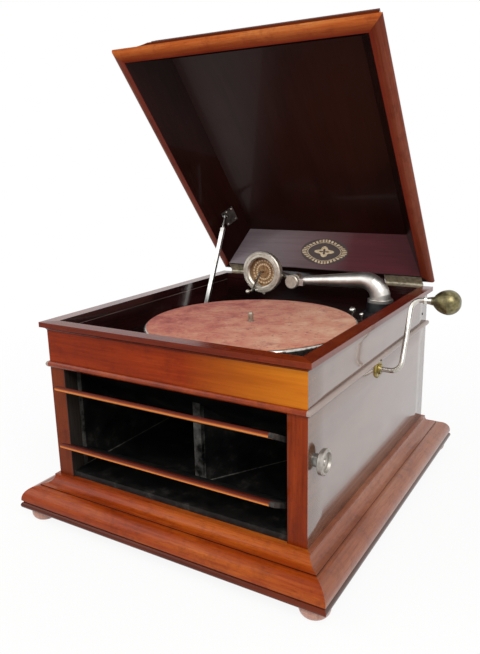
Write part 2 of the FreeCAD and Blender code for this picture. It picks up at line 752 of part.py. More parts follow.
def throat_stations(radius, spare):
    """Circles down from the base and round to the back of the horn."""
    low = throat_height + throat_bend
    stations = [(arm_x, arm_y, board_top + spare, (1, 0, 0), as_size(0), radius),
                (arm_x, arm_y, low, (1, 0, 0), as_size(0), radius)]
    steps = 5
    for count in range(1, steps + 1):
        angle = as_size(90) * count / steps
        stations.append((arm_x, arm_y - throat_bend * (1 - cosine(angle)), low - throat_bend * sine(angle),
                         (-1, 0, 0), angle, radius))
    stations.append((arm_x, horn_back_y + horn_wall - spare, throat_height, (-1, 0, 0), as_size(90),
                     radius))
    return stations


throat = cut("throat", bent_tube("throat_skin", throat_stations(throat_radius, as_size(0))),
             bent_tube("throat_core", throat_stations(throat_bore, as_size(1))))
node(join("tonearm_base", base_flange, throat), "tonearm_base")

# Soundbox: hangs from the joint and tips up about it.
soundbox_radius = size("soundbox_radius", 35.8)
soundbox_thickness = size("soundbox_thickness", 20)
soundbox_setback = size("soundbox_setback", 26)
soundbox_offset_x = size("soundbox_offset_x", 52)
soundbox_lift = size("soundbox_lift", 14.3)
ring_width = size("ring_width", 12)
ring_depth = size("ring_depth", 4)
diaphragm_thickness = size("diaphragm_thickness", 0.6)
stem_radius = size("stem_radius", 6)
needle_length = size("needle_length", 8)
screw_length = size("screw_length", 17.5)
screw_ball = size("screw_ball", 3.6)
lug_length = size("lug_length", 26)
lug_width = size("lug_width", 8)
lug_slant = size("lug_slant", 35)
needle_radius = size("needle_radius", 0.8)
needle_slant = size("needle_slant", 26)

box_x = joint_x - soundbox_offset_x
soundbox_front_y = arm_y - soundbox_setback
box_z = joint_z + soundbox_lift
facing = ((1, 0, 0), 90)
shell_back = soundbox_thickness - ring_depth
glass_z = shell_back - 6
spout_radius = stem_radius - 0.8
shell_inside = soundbox_radius - ring_width + 1
shell_outline = [(spout_radius, 0), (soundbox_radius - 9, 0), (soundbox_radius - 2, 5),
                 (soundbox_radius - 1, 9), (soundbox_radius - 1, shell_back), (shell_inside, shell_back),
                 (shell_inside, glass_z),
                 (shell_inside - 4, glass_z), (spout_radius, 4)]
shell = turned("soundbox_body", shell_outline)
soundbox_back_y = soundbox_front_y + soundbox_thickness
node(place(shell, box_x, soundbox_back_y, box_z, *facing), "soundbox_body")
aperture = soundbox_radius - ring_width
ring_outline = [(aperture, 0), (soundbox_radius - 0.5, 0), (soundbox_radius, 1),
                (soundbox_radius, ring_depth - 1.5),
                (soundbox_radius - 1.5, ring_depth), (soundbox_radius - 4.5, ring_depth),
                (soundbox_radius - 5, ring_depth - 0.6), (soundbox_radius - 5.5, ring_depth),
                (aperture + 2.5, ring_depth), (aperture, ring_depth - 2)]
ring = turned("ring_turning", ring_outline)
place(ring, box_x, soundbox_front_y + ring_depth, box_z, *facing)
lug_reach = soundbox_radius - lug_width
lug_bar = box("needle_lug", -lug_length / 2, lug_length / 2, 0, ring_depth - 1, -lug_width, 0.6)
place(lug_bar, box_x - lug_reach * sine(lug_slant), soundbox_front_y + 0.5,
      box_z - lug_reach * cosine(lug_slant), (0, 1, 0), lug_slant)
node(join("soundbox_ring_with_lug", ring, lug_bar), "soundbox_ring")
diaphragm = rod("diaphragm", soundbox_radius - ring_width + 1 - free_gap / 2, box_x,
                soundbox_back_y - glass_z - diaphragm_thickness,
                box_z, diaphragm_thickness, "y")
node(diaphragm, "diaphragm")

stem_y = soundbox_back_y + stem_radius + 4.4
stem_run = joint_x - box_x
stem_angle = slope_angle(soundbox_lift, stem_run)
stem_bend = stem_radius + 3


def turn_to(way, seam):
    """Axis and angle that turn a circle to face that way, with its seam on a fixed side."""
    turn = FreeCAD.Rotation(Vector(*seam), Vector(*way).cross(Vector(*seam)), Vector(*way), "ZXY")
    return tuple(turn.Axis), as_size(math.degrees(turn.Angle))


def stem_stations():
    """Circles back out of the soundbox, round a right-angled bend, and along to the joint's eye."""
    along_x = cosine(stem_angle)
    along_z = -sine(stem_angle)
    seam = (-along_z.value, 0, along_x.value)
    stations = [(box_x, soundbox_back_y - 4, box_z, *turn_to((0, 1, 0), seam), spout_radius - 0.02),
                (box_x, soundbox_back_y, box_z, *turn_to((0, 1, 0), seam), spout_radius - 0.02)]
    steps = 6
    for count in range(steps + 1):
        angle = as_size(90) * count / steps
        out = stem_bend * (1 - cosine(angle))
        bent = math.radians(angle.value)
        way = (math.sin(bent) * along_x.value, math.cos(bent), math.sin(bent) * along_z.value)
        stations.append((box_x + along_x * out, stem_y - stem_bend * (1 - sine(angle)),
                         box_z + along_z * out,
                         *turn_to(way, seam), stem_radius))
    stations.append((joint_x - 2 * along_x, stem_y, joint_z - 2 * along_z, *turn_to(way, seam),
                     stem_radius))
    return stations


stem_pipe = bent_tube("stem_pipe", stem_stations())
eye_front = yoke_back + joint_gap
stem_eye = rod("stem_eye", joint_radius, joint_x, eye_front, joint_z,
               stem_y + stem_radius + 0.8 - eye_front, "y")
cap_back = yoke_front - joint_gap
pivot_pin = rod("joint_pivot_pin", joint_pin_radius, joint_x, cap_back, joint_z, eye_front + 1 - cap_back,
                "y")
node(join("soundbox_stem", stem_pipe, stem_eye, pivot_pin), "soundbox_stem")
cap = turned("joint_cap", [(0, 0), (joint_radius + 1, 0), (joint_radius + 1, 2.5), (joint_radius - 0.5, 4),
                           (0, 4)])
node(place(cap, joint_x, cap_back, joint_z, *facing), "joint_cap")

slant_sin = sine(needle_slant)
slant_cos = cosine(needle_slant)
bar_y = soundbox_front_y - 4.4
bar_reach = soundbox_radius - 3.5
stylus_arm = box("stylus_arm", -1.3, 1.3, 0, 2.2, -bar_reach, 3)
stylus_post = rod("stylus_post", 1.3, 0, 1.1, 0,
                  soundbox_back_y - glass_z - diaphragm_thickness - bar_y - 1.1 - 0.1, "y")
chuck = rod("needle_chuck", 3, 0, 1.1, -bar_reach - 5, 6)
socket = rod("needle_socket", needle_radius, 0, 1.1, -bar_reach - 6, 5.8)
stylus = cut("stylus_bar", join("stylus_whole", stylus_arm, stylus_post, chuck), socket)
node(place(stylus, box_x, bar_y, box_z, (0, 1, 0), needle_slant), "stylus_bar")
needle = doc.addObject("Part::Cone", "needle")
bind(needle, "Radius1", 0.15)
bind(needle, "Radius2", needle_radius)
bind(needle, "Height", needle_length)
tip_reach = bar_reach + needle_length + 0.3
place(needle, box_x - tip_reach * slant_sin, bar_y + 1.1, box_z - tip_reach * slant_cos, (0, 1, 0),
      needle_slant)
node(needle, "needle")
screw_reach = bar_reach + 2
screw_x = box_x - screw_reach * slant_sin
screw_z = box_z - screw_reach * slant_cos
ball_reach = screw_length - screw_ball
ball_y = bar_y + 1.1 - 3 - ball_reach
screw_shank = rod("screw_shank", 1.2, screw_x, ball_y, screw_z, ball_reach, "y")
screw_knob = ball("screw_knob", screw_ball, screw_x, ball_y, screw_z)
node(join("needle_screw", screw_shank, screw_knob), "needle_screw")

# Winding crank: bent rod with a ferrule and a bulb handle, in a brass escutcheon.
crank_radius = size("crank_radius", 98)
crank_lean = size("crank_lean", 24.7)
crank_standoff = size("crank_standoff", 31)
crank_bend = size("crank_bend", 13)
handle_length = size("handle_length", 28)
ferrule_radius = size("ferrule_radius", 5.5)
ferrule_length = size("ferrule_length", 11)
bulb_radius = size("bulb_radius", 16.3)
escutcheon_radius = size("escutcheon_radius", 12.5)
escutcheon_thickness = size("escutcheon_thickness", 3)
handle_bore_depth = size("handle_bore_depth", 24)

crank_plane_x = half_width + crank_standoff
handle_x = crank_plane_x + handle_length


def crank_stations():
    """The rod in its own frame: along X from the case, up, and out along X again."""
    start = panel_in - 18
    stations = [(start, 0, 0, (0, 1, 0), as_size(90), crank_rod_radius),
                (crank_plane_x - crank_bend, 0, 0, (0, 1, 0), as_size(90), crank_rod_radius)]
    steps = 5
    for count in range(1, steps + 1):
        angle = as_size(90) * count / steps
        stations.append((crank_plane_x - crank_bend + crank_bend * sine(angle), 0,
                         crank_bend * (1 - cosine(angle)), (0, 1, 0),
                         90 - angle, crank_rod_radius))
    for count in range(0, steps + 1):
        angle = as_size(90) * count / steps
        stations.append((crank_plane_x + crank_bend * (1 - cosine(angle)), 0,
                         crank_radius - crank_bend + crank_bend * sine(angle),
                         (0, 1, 0), angle, crank_rod_radius))
    stations.append((handle_x + handle_bore_depth - 3, 0, crank_radius, (0, 1, 0), as_size(90),
                     crank_rod_radius))
    return stations


def crank_place(piece):
    return place(piece, 0, crank_y, crank_height, (-1, 0, 0), crank_lean)


crank_rod = bent_tube("crank_rod", crank_stations())
crank_end = rod("crank_end", crank_rod_radius, panel_in - 20, 0, 0, 4, "x")
node(crank_place(join("crank_arm", crank_rod, crank_end)), "crank_arm")
bulb_bore = crank_rod_radius + running_gap
ferrule = turned("ferrule_turning", [(bulb_bore, 0), (ferrule_radius - 1, 0), (ferrule_radius, 2),
                 (ferrule_radius - 1.2, 5), (ferrule_radius, ferrule_length), (bulb_bore, ferrule_length)])
place(ferrule, handle_x - ferrule_length - 2, 0, crank_radius, (0, 1, 0), 90)
node(crank_place(group("crank_ferrule", ferrule)), "crank_ferrule")
bulb_end = bulb_radius * 2 + 3
bulb_outline = [(bulb_bore, 0), (ferrule_radius, 0), (ferrule_radius + 0.5, 2, 24, -1),
                (bulb_radius, bulb_radius + 5, bulb_radius, -1), (6, bulb_end), (0, bulb_end + 0.6),
                (0, handle_bore_depth), (bulb_bore, handle_bore_depth)]
bulb = turned("crank_bulb", bulb_outline)
place(bulb, handle_x - 1.6, 0, crank_radius, (0, 1, 0), 90)
node(crank_place(group("crank_handle", bulb)), "crank_handle")
boss_height = escutcheon_thickness + 3
plate_outline = [(bulb_bore, 0), (escutcheon_radius, 0), (escutcheon_radius, 1),
                 (escutcheon_radius - 1.5, escutcheon_thickness),
                 (crank_rod_radius + 4, escutcheon_thickness),
                 (crank_rod_radius + 3, boss_height), (bulb_bore, boss_height)]
plate = turned("crank_escutcheon", plate_outline)
node(place(plate, half_width, crank_y, crank_height, (0, 1, 0), 90), "crank_escutcheon")
bead_notch = rod("bead_notch", escutcheon_radius + free_gap, half_width - 1, crank_y, crank_height,
                 bead_overhang + 2, "x")
bead_rails[2] = cut("bead_right_notched", bead_rails[2], bead_notch)
node(group("bead_moulding", *bead_rails), "bead_moulding")

# Tone leaves in the horn mouth, worked together by the knob on the right post through an upright link.
leaf_front = size("leaf_front", 40)
leaf_rear = size("leaf_rear", 36)
leaf_thickness = size("leaf_thickness", 6)
leaf_end_gap = size("leaf_end_gap", 5.5)
leaf_near_gap = size("leaf_near_gap", 1.5)
leaf_tilt = size("leaf_tilt", 28)
link_arm = size("link_arm", 16)
link_pin_radius = size("link_pin_radius", 1.5)
link_width = size("link_width", 6)
link_thickness = size("link_thickness", 1.4)
knob_radius = size("knob_radius", 15)
knob_thickness = size("knob_thickness", 8)
knob_standoff = size("knob_standoff", 7)

leaf_half = post_in - leaf_end_gap
link_x = leaf_half + 1.5
half_leaf = leaf_thickness / 2
leaf_near = leaf_near_gap - post_in
leaf_length = leaf_half - leaf_near
for where, height in (("lower", leaf_low_height), ("upper", leaf_high_height)):
    name = f"tone_leaf_{where}"
    nose_y = -leaf_front + half_leaf
    outline = [(nose_y, -half_leaf), (leaf_rear, -half_leaf, half_leaf + 0.2, -1), (leaf_rear, half_leaf),
               (nose_y, half_leaf, half_leaf + 0.2, -1)]
    blade = place(pad(f"{name}_blade", "YZ_Plane", [outline], leaf_length, False), leaf_near)
    ends = [rod(f"{name}_pivot_{side}", leaf_pivot_radius,
                (leaf_half - 2) if side == 1 else -(post_in + pivot_depth - 1), 0, 0,
                leaf_end_gap + pivot_depth + 1, "x") for side in (-1, 1)]
    pin = rod(f"{name}_link_pin", link_pin_radius, leaf_half - 2, link_arm, 0,
              2 + 1.5 + link_thickness + 0.6, "x")
    leaf = join(name, blade, *ends, pin)
    node(place(leaf, 0, leaf_y, height, (-1, 0, 0), leaf_tilt), name)
pin_out_y = leaf_y + link_arm * cosine(leaf_tilt)
pin_down = link_arm * sine(leaf_tilt)
half_link = link_width / 2
strip_top = leaf_spacing + 6
strip_outline = [(-half_link, -6), (half_link, -6), (half_link, strip_top), (-half_link, strip_top)]
strip = pad("link_strip", "YZ_Plane", [strip_outline], link_thickness, False)
place(strip, 0, 0, 0)
eyes = [rod(f"link_eye_{count}", link_pin_radius + 0.35, -1, 0, height - leaf_low_height,
            link_thickness + 2, "x")
        for count, height in enumerate((leaf_low_height, leaf_high_height))]
eyes.append(rod("link_knob_eye", link_pin_radius + running_gap, -1, 0, knob_height - leaf_low_height,
                link_thickness + 2, "x"))
node(place(cut("tone_link", strip, *eyes), link_x, pin_out_y, leaf_low_height - pin_down), "tone_link")
knob_face = half_width + knob_standoff
knob_crown = knob_thickness + 1.5
knob_dish = knob_thickness - 1.5
knob_outline = [(0, 0), (knob_shaft_radius + 3, 0), (knob_shaft_radius + 4, 2), (knob_radius - 2, 2),
                (knob_radius, 3.5), (knob_radius, knob_thickness), (knob_radius - 1.5, knob_crown),
                (knob_radius - 3.5, knob_crown), (knob_radius - 4.5, knob_dish), (4, knob_dish),
                (3.2, knob_thickness), (0, knob_thickness)]
knob = turned("tone_knob", knob_outline)
node(place(knob, knob_face, leaf_y, knob_height, (0, 1, 0), 90), "tone_knob")
arm_face = link_x + link_thickness + 0.5
shaft = rod("knob_shaft_rod", knob_shaft_radius, arm_face, 0, 0, knob_face - arm_face, "x")
knob_collar = rod("knob_collar", knob_shaft_radius + 3.5, half_width + 0.3, 0, 0, knob_standoff - 0.3, "x")
lever = box("knob_lever", arm_face, arm_face + 1.4, -knob_shaft_radius, link_arm + 3, -3, 3)
lever_pin = rod("knob_lever_pin", link_pin_radius, link_x - 0.4, link_arm, 0, arm_face - link_x + 1, "x")
spindle_arm = join("tone_shaft", shaft, knob_collar, lever, lever_pin)
node(place(spindle_arm, 0, leaf_y, knob_height, (-1, 0, 0), leaf_tilt), "tone_shaft")

# Horn behind the mouth: bent roof, walls, back with the throat's mouth, and a V splitter round dead space.
roof_bend_y = size("roof_bend_y", -95)
splitter_x = size("splitter_x", 6)
splitter_nose_y = size("splitter_nose_y", -158)
splitter_angle = size("splitter_angle", 32)
splitter_back_y = size("splitter_back_y", 20)
splitter_thickness = size("splitter_thickness", 5)

roof_front = apron_bottom - roof_thickness
horn_outline = [(post_back, floor_top), (horn_back_y, floor_top), (horn_back_y, roof_back_height),
                (roof_bend_y, roof_bend_height), (post_back, roof_front)]
horn_space = pad("horn_space", "YZ_Plane", [horn_outline], 2 * post_in)
roof_end = horn_back_y + horn_wall
roof_outline = [(post_back, roof_front), (roof_bend_y, roof_bend_height), (roof_end, roof_back_height),
                (roof_end, roof_back_height + roof_thickness),
                (roof_bend_y, roof_bend_height + roof_thickness + 1),
                (post_back, roof_front + roof_thickness)]
node(pad("horn_roof", "YZ_Plane", [roof_outline], 2 * panel_in), "horn_roof")
horn_sides = []
for where, x in (("left", -post_in - horn_wall), ("right", post_in)):
    wall = pad(f"horn_wall_{where}", "YZ_Plane", [horn_outline], horn_wall, False)
    horn_sides.append(place(wall, x))
back_board = box("horn_back_board", -post_in - horn_wall, post_in + horn_wall, horn_back_y,
                 horn_back_y + horn_wall, floor_top, roof_back_height)
throat_mouth = rod("throat_mouth", throat_bore, arm_x, horn_back_y - 1, throat_height, horn_wall + 2, "y")
horn_sides.append(cut("horn_back", back_board, throat_mouth))
node(group("horn_walls", *horn_sides), "horn_walls")

run = splitter_back_y - splitter_nose_y
spread = run * tangent(splitter_angle)
skew = splitter_thickness / cosine(splitter_angle)
boards = []
for side in (-1, 1):
    nose = splitter_x + side * skew
    tail_x = nose + side * spread
    outline = [(nose - side * skew, splitter_nose_y), (nose, splitter_nose_y), (tail_x, splitter_back_y),
               (tail_x - side * skew, splitter_back_y)]
    plan = pad(f"splitter_plan_{side}", "XY_Plane", [outline], rim_top * 2)
    boards.append(common(f"splitter_board_{side}", plan, horn_space))
rear = box("splitter_rear_plan", splitter_x - spread, splitter_x + spread,
           splitter_back_y - splitter_thickness, splitter_back_y, 0, rim_top)
rear_board = cut("splitter_rear", common("splitter_rear_whole", rear, horn_space), *boards)
post_plan = box("splitter_post_plan", splitter_x - skew, splitter_x + skew, splitter_nose_y - 6,
                splitter_nose_y, 0, rim_top)
nose_post = common("splitter_post", post_plan, horn_space)
node(group("horn_splitter", *boards, rear_board, nose_post), "horn_splitter")

# Spring motor under the motor board: all its arbors are upright, and the crank winds through a bevel pair.
barrel_x = size("barrel_x", 70)
barrel_radius = size("barrel_radius", 38)
great_teeth = size("great_teeth", 48)
great_module = size("great_module", 1.75)
pinion_teeth = size("pinion_teeth", 12)
middle_teeth = size("middle_teeth", 48)
middle_module = size("middle_module", 1.25)
governor_teeth = size("governor_teeth", 48)
governor_module = size("governor_module", 1.0)
winding_teeth = size("winding_teeth", 30)
winding_module = size("winding_module", 2)
gear_backlash = size("gear_backlash", 0.25)
wheel_width = size("wheel_width", 5)
frame_top_drop = size("frame_top_drop", 2)
great_rise = size("great_rise", 19)
middle_rise = size("middle_rise", 8)
governor_drop = size("governor_drop", 12)
governor_rise = size("governor_rise", 13)
arbor_radius = size("arbor_radius", 3.5)
pillar_radius = size("pillar_radius", 5)
frame_governor_edge = size("frame_governor_edge", 22)
frame_barrel_edge = size("frame_barrel_edge", 48)
frame_near_edge = size("frame_near_edge", 30)
frame_far_edge = size("frame_far_edge", 54)

great_distance = great_module * (great_teeth + pinion_teeth) / 2 + gear_backlash
middle_distance = middle_module * (middle_teeth + pinion_teeth) / 2 + gear_backlash
governor_distance = governor_module * (governor_teeth + pinion_teeth) / 2 + gear_backlash
apart_x = barrel_x - spindle_x
apart_y = crank_y - spindle_y
apart = root(apart_x * apart_x + apart_y * apart_y)
between = middle_distance * middle_distance - great_distance * great_distance
along_line = (between + apart * apart) / (2 * apart)
off_line = root(middle_distance * middle_distance - along_line * along_line)
middle_x = spindle_x + (along_line * apart_x - off_line * apart_y) / apart
middle_y = spindle_y + (along_line * apart_y + off_line * apart_x) / apart
governor_x = spindle_x - governor_distance
frame_top = board_bottom - frame_top_drop
great_height = spindle_foot + great_rise
middle_height = spindle_foot + middle_rise
governor_height = crank_height - governor_drop


def meshing_phase(teeth, angle):
    """Phase that puts the middle of a tooth gap at that angle."""
    return angle + math.pi / teeth.value


to_great = math.atan2(crank_y.value - middle_y.value, barrel_x.value - middle_x.value)
to_spindle = math.atan2(spindle_y.value - middle_y.value, spindle_x.value - middle_x.value)
great_wheel = spur(great_teeth.value, great_module.value, wheel_width.value,
                   meshing_phase(great_teeth, to_great + math.pi))
barrel_drum = Part.makeCylinder(barrel_radius.value,
                                governor_height.value - great_height.value - wheel_width.value - 8,
                                Vector(0, 0, wheel_width.value))
bore_length = motor_depth.value * 2
bore_arbor = Part.makeCylinder(arbor_radius.value + running_gap.value, bore_length,
                               Vector(0, 0, -motor_depth.value))
barrel_shape = great_wheel.fuse(barrel_drum).cut(bore_arbor)
node(solid("mainspring_barrel", barrel_shape, barrel_x, crank_y, great_height), "mainspring_barrel")

bevel_wheel = bevel(winding_teeth.value, winding_module.value, pinion_teeth.value, 4.5,
                    math.pi / winding_teeth.value)
winding_low = crank_height.value - winding_module.value * pinion_teeth.value / 2
arbor_low = plate_low.value + 1
winding_arbor = Part.makeCylinder(arbor_radius.value, winding_low - arbor_low + 3, Vector(0, 0, arbor_low))
bevel_wheel.translate(Vector(0, 0, winding_low))
bevel_back = Part.makeCylinder(winding_teeth.value * winding_module.value / 2 - 6, 3,
                               Vector(0, 0, winding_low - 3))
winding_shape = winding_arbor.fuse([bevel_wheel, bevel_back])
node(solid("winding_arbor", winding_shape, barrel_x, crank_y, 0), "winding_arbor")

pinion_x = barrel_x.value + winding_module.value * winding_teeth.value / 2
crank_pinion = bevel(pinion_teeth.value, winding_module.value, winding_teeth.value, 10, 0)
crank_pinion.rotate(Vector(0, 0, 0), Vector(0, 1, 0), -90)
crank_pinion.translate(Vector(pinion_x, 0, 0))
shaft_end = panel_in.value - 20
crank_shaft_bar = Part.makeCylinder(5, shaft_end - pinion_x + 2, Vector(pinion_x - 2, 0, 0),
                                    Vector(1, 0, 0))
crank_socket = Part.makeCylinder(crank_rod_radius.value + 3.5, 14, Vector(shaft_end - 14, 0, 0),
                                 Vector(1, 0, 0))
crank_shaft = crank_pinion.fuse([crank_shaft_bar, crank_socket])
node(solid("crank_shaft", crank_shaft, 0, crank_y, crank_height), "crank_shaft")

middle_pinion = spur(pinion_teeth.value, great_module.value, wheel_width.value + 3, to_great)
middle_pinion.translate(Vector(0, 0, great_height.value - 1.5))
middle_wheel = spur(middle_teeth.value, middle_module.value, wheel_width.value,
                    meshing_phase(middle_teeth, to_spindle))
middle_wheel.translate(Vector(0, 0, middle_height.value))
middle_arbor = Part.makeCylinder(arbor_radius.value, great_height.value + 12 - arbor_low,
                                 Vector(0, 0, arbor_low))
node(solid("intermediate_wheel", middle_arbor.fuse([middle_pinion, middle_wheel]), middle_x, middle_y, 0),
     "intermediate_wheel")

spindle_pinion = spur(pinion_teeth.value, middle_module.value, wheel_width.value + 3, to_spindle + math.pi)
spindle_pinion.translate(Vector(0, 0, middle_height.value - 1.5))
spindle_wheel = spur(governor_teeth.value, governor_module.value, wheel_width.value,
                     meshing_phase(governor_teeth, math.pi))
spindle_wheel.translate(Vector(0, 0, governor_height.value))
shank_top = plate_top.value - 14
shank = Part.makeCylinder(spindle_radius.value, shank_top - arbor_low, Vector(0, 0, arbor_low))
pin_foot = felt_top.value + free_gap.value
pin_length = centre_pin_length.value - free_gap.value - pin_tip.value
hub_pin = Part.makeCylinder(hub_pin_radius.value, pin_foot - shank_top, Vector(0, 0, shank_top))
centre_pin = Part.makeCylinder(centre_pin_radius.value, pin_length, Vector(0, 0, pin_foot))
tip_place = Vector(0, 0, pin_foot + pin_length)
centre_tip = Part.makeCone(centre_pin_radius.value, centre_pin_radius.value / 2, pin_tip.value, tip_place)
spindle_shape = shank.fuse([spindle_pinion, spindle_wheel, hub_pin, centre_pin, centre_tip])
node(solid("turntable_spindle", spindle_shape, spindle_x, spindle_y, 0), "turntable_spindle")

governor_pinion = spur(pinion_teeth.value, governor_module.value, wheel_width.value + 3, 0)
governor_pinion.translate(Vector(0, 0, governor_height.value - 1.5))
governor_shaft = Part.makeCylinder(3, frame_top.value - arbor_low - 1, Vector(0, 0, arbor_low))
governor_foot = spindle_foot.value + governor_rise.value
governor_head = governor_height.value - 12
governor_disc = Part.makeCylinder(14, 2, Vector(0, 0, governor_foot))
governor_collars = [Part.makeCylinder(6, 6, Vector(0, 0, height))
                    for height in (governor_foot + 2, governor_head)]
spring_foot = governor_foot + 5
spring_length = governor_head + 3 - spring_foot
weights = []
for count in range(3):
    angle = math.radians(90 + 120 * count)
    spot = Vector(13 * math.cos(angle), 13 * math.sin(angle), spring_foot + spring_length / 2)
    weights.append(Part.makeSphere(4.5, spot))
    spring = Part.makeBox(1, 4, spring_length, Vector(10, -2, spring_foot))
    spring_ends = [Part.makeBox(6, 4, 1.5, Vector(5, -2, height))
                   for height in (spring_foot, spring_foot + spring_length - 1.5)]
    spring = spring.fuse(spring_ends)
    spring.rotate(Vector(0, 0, 0), Vector(0, 0, 1), 90 + 120 * count)
    weights.append(spring)
governor = governor_shaft.fuse([governor_pinion, governor_disc] + governor_collars + weights)
node(solid("governor", governor, governor_x, spindle_y, 0), "governor")

frame_left = governor_x - frame_governor_edge
frame_right = barrel_x + frame_barrel_edge
frame_near = spindle_y - frame_near_edge
frame_far = crank_y + frame_far_edge
bedplate = box("bedplate", frame_left, frame_right, frame_near, frame_far, frame_top - frame_thickness,
               frame_top)
window = box("crank_window", barrel_x + 8, frame_right + 1, crank_y - 18, crank_y + 18,
             frame_top - frame_thickness - 1, frame_top + 1)
lower_plate = box("lower_plate", frame_left, frame_right, frame_near, frame_far, plate_low, spindle_foot)
arbors = []
bearings = (("spindle", spindle_x, spindle_y, spindle_radius), ("barrel", barrel_x, crank_y, arbor_radius),
            ("middle", middle_x, middle_y, arbor_radius), ("governor", governor_x, spindle_y, as_size(3)))
for name, x, y, radius in bearings:
    arbors.append(rod(f"{name}_bearing", radius + running_gap, x, y, plate_low - 1,
                      frame_top + 2 - plate_low))
pillars = []
for count, (x, y) in enumerate(((frame_left + 7, frame_near + 7), (frame_right - 7, frame_near + 7),
                                (frame_right - 7, frame_far - 7),
                                (frame_left + 7, frame_far - 7))):
    pillars.append(rod(f"pillar_{count}", pillar_radius, x, y, spindle_foot - 1,
                       board_bottom - spindle_foot + 1))
motor_frame = join("motor_frame_whole", bedplate, lower_plate, *pillars)
node(cut("motor_frame", motor_frame, window, *arbors), "motor_frame")

# Motor board with its holes: spindle, throat and stay slot.
board = box("motor_board_whole", -panel_in, panel_in, post_back, back_in, board_bottom, board_top)
spindle_hole = rod("spindle_hole", spindle_radius + 4, spindle_x, spindle_y, board_bottom - 1,
                   board_thickness + 2)
throat_hole = rod("throat_hole", throat_radius + free_gap, arm_x, arm_y, board_bottom - 1,
                  board_thickness + 2)
slot_front = stay_slot_y - board_thickness * tangent(stay_tilt) - stay_flange
slot = box("stay_slot", stay_x - stay_width / 2 - 1.5, stay_x + stay_width / 2 + 1.5, slot_front,
           stay_slot_y + stay_flange, board_bottom - 1, board_top + 1)

# Brake and speed levers beside the turntable, each with a ball knob, at a share of the way to the tonearm.
lever_radius = size("lever_radius", 1.8)
brake_across_share = size("brake_across_share", 0.79)
brake_back_share = size("brake_back_share", 0.73)
speed_across_share = size("speed_across_share", 0.98)
speed_back_share = size("speed_back_share", 0.62)
lever_rise = size("lever_rise", 17)
brake_knob_radius = size("brake_knob_radius", 5.2)
speed_knob_radius = size("speed_knob_radius", 3.4)
lever_length = size("lever_length", 26)
lever_plate = size("lever_plate", 2)
lever_pivot_radius = size("lever_pivot_radius", 3)

lever_knob_height = board_top + lever_rise
across = arm_x - spindle_x
behind = arm_y - spindle_y
brake_x = spindle_x + across * brake_across_share
brake_y = spindle_y + behind * brake_back_share
speed_x = spindle_x + across * speed_across_share
speed_y = spindle_y + behind * speed_back_share
levers = (("brake", brake_x, brake_y, brake_knob_radius), ("speed", speed_x, speed_y, speed_knob_radius))
pivots = []
for name, x, y, knob_radius_here in levers:
    bar_z = board_top + 0.4
    blade = box(f"{name}_blade", x - 4, x + lever_length, y - 4, y + 4, bar_z, bar_z + lever_plate)
    post = rod(f"{name}_post", lever_radius, x, y, bar_z, lever_knob_height - bar_z)
    knob_ball = ball(f"{name}_ball", knob_radius_here, x, y, lever_knob_height)
    pivot = rod(f"{name}_pivot", lever_pivot_radius, x + lever_length - 4, y, board_bottom + 2,
                bar_z - board_bottom + 2)
    node(join(f"{name}_lever", blade, post, knob_ball, pivot), f"{name}_lever")
    pivots.append(rod(f"{name}_bearing", lever_pivot_radius + running_gap, x + lever_length - 4, y,
                      board_bottom - 1, board_thickness + 2))
node(cut("motor_board", board, spindle_hole, throat_hole, slot, *pivots), "motor_board")

doc.recompute()
faults = [thing.Name for thing in doc.Objects if "Invalid" in thing.State or "Error" in thing.State]
for piece in nodes:
    if piece.Shape.isNull() or not piece.Shape.isValid() or not piece.Shape.Solids:
        faults.append(piece.Label)
if faults:
    raise RuntimeError("these pieces failed: " + ", ".join(faults))
os.makedirs("parts", exist_ok=True)
for piece in nodes:
    piece.Shape.exportStep(f"parts/{piece.Label}.step")
    print(piece.Label, len(piece.Shape.Solids), round(piece.Shape.Volume))
print(len(nodes), "nodes")
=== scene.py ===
import json
import math

import bmesh
import bpy
import numpy as np
from mathutils import Matrix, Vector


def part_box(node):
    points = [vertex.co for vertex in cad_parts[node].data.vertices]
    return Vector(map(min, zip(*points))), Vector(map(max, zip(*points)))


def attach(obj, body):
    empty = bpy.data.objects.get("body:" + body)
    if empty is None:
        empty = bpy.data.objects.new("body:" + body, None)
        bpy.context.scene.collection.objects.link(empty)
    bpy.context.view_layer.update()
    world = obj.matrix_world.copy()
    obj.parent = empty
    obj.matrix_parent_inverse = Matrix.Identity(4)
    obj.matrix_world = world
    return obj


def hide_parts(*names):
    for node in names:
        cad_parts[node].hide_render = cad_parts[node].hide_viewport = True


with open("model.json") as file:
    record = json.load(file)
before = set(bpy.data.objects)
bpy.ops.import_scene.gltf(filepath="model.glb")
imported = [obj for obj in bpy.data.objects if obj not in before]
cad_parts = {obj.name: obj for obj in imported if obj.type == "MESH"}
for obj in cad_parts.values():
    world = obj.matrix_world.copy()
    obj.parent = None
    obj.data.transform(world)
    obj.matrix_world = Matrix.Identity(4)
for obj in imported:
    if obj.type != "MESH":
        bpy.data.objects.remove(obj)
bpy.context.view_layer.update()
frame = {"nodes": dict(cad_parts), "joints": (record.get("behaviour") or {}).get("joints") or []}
nodes = frame["nodes"]
joints = {joint["name"]: joint for joint in frame["joints"]}
MM = 0.001
HAIR_MM = 0.02

# The lid stands open at rest. Places on the closed lid, measured from the hinge pin, are turned
# to the open one by this.
pin = np.array(joints["lid_hinge"]["pos_m"])
lid_angle = math.radians(-joints["lid_hinge"]["range_deg"][0])
lid_turn = np.array([[1, 0, 0],
                     [0, math.cos(lid_angle), math.sin(lid_angle)],
                     [0, -math.sin(lid_angle), math.cos(lid_angle)]])


def in_lid(points):
    """Places on the open lid of points given in millimetres from the pin on the closed lid: turn,
    then shift."""
    return pin + np.asarray(points, float) * MM @ lid_turn.T


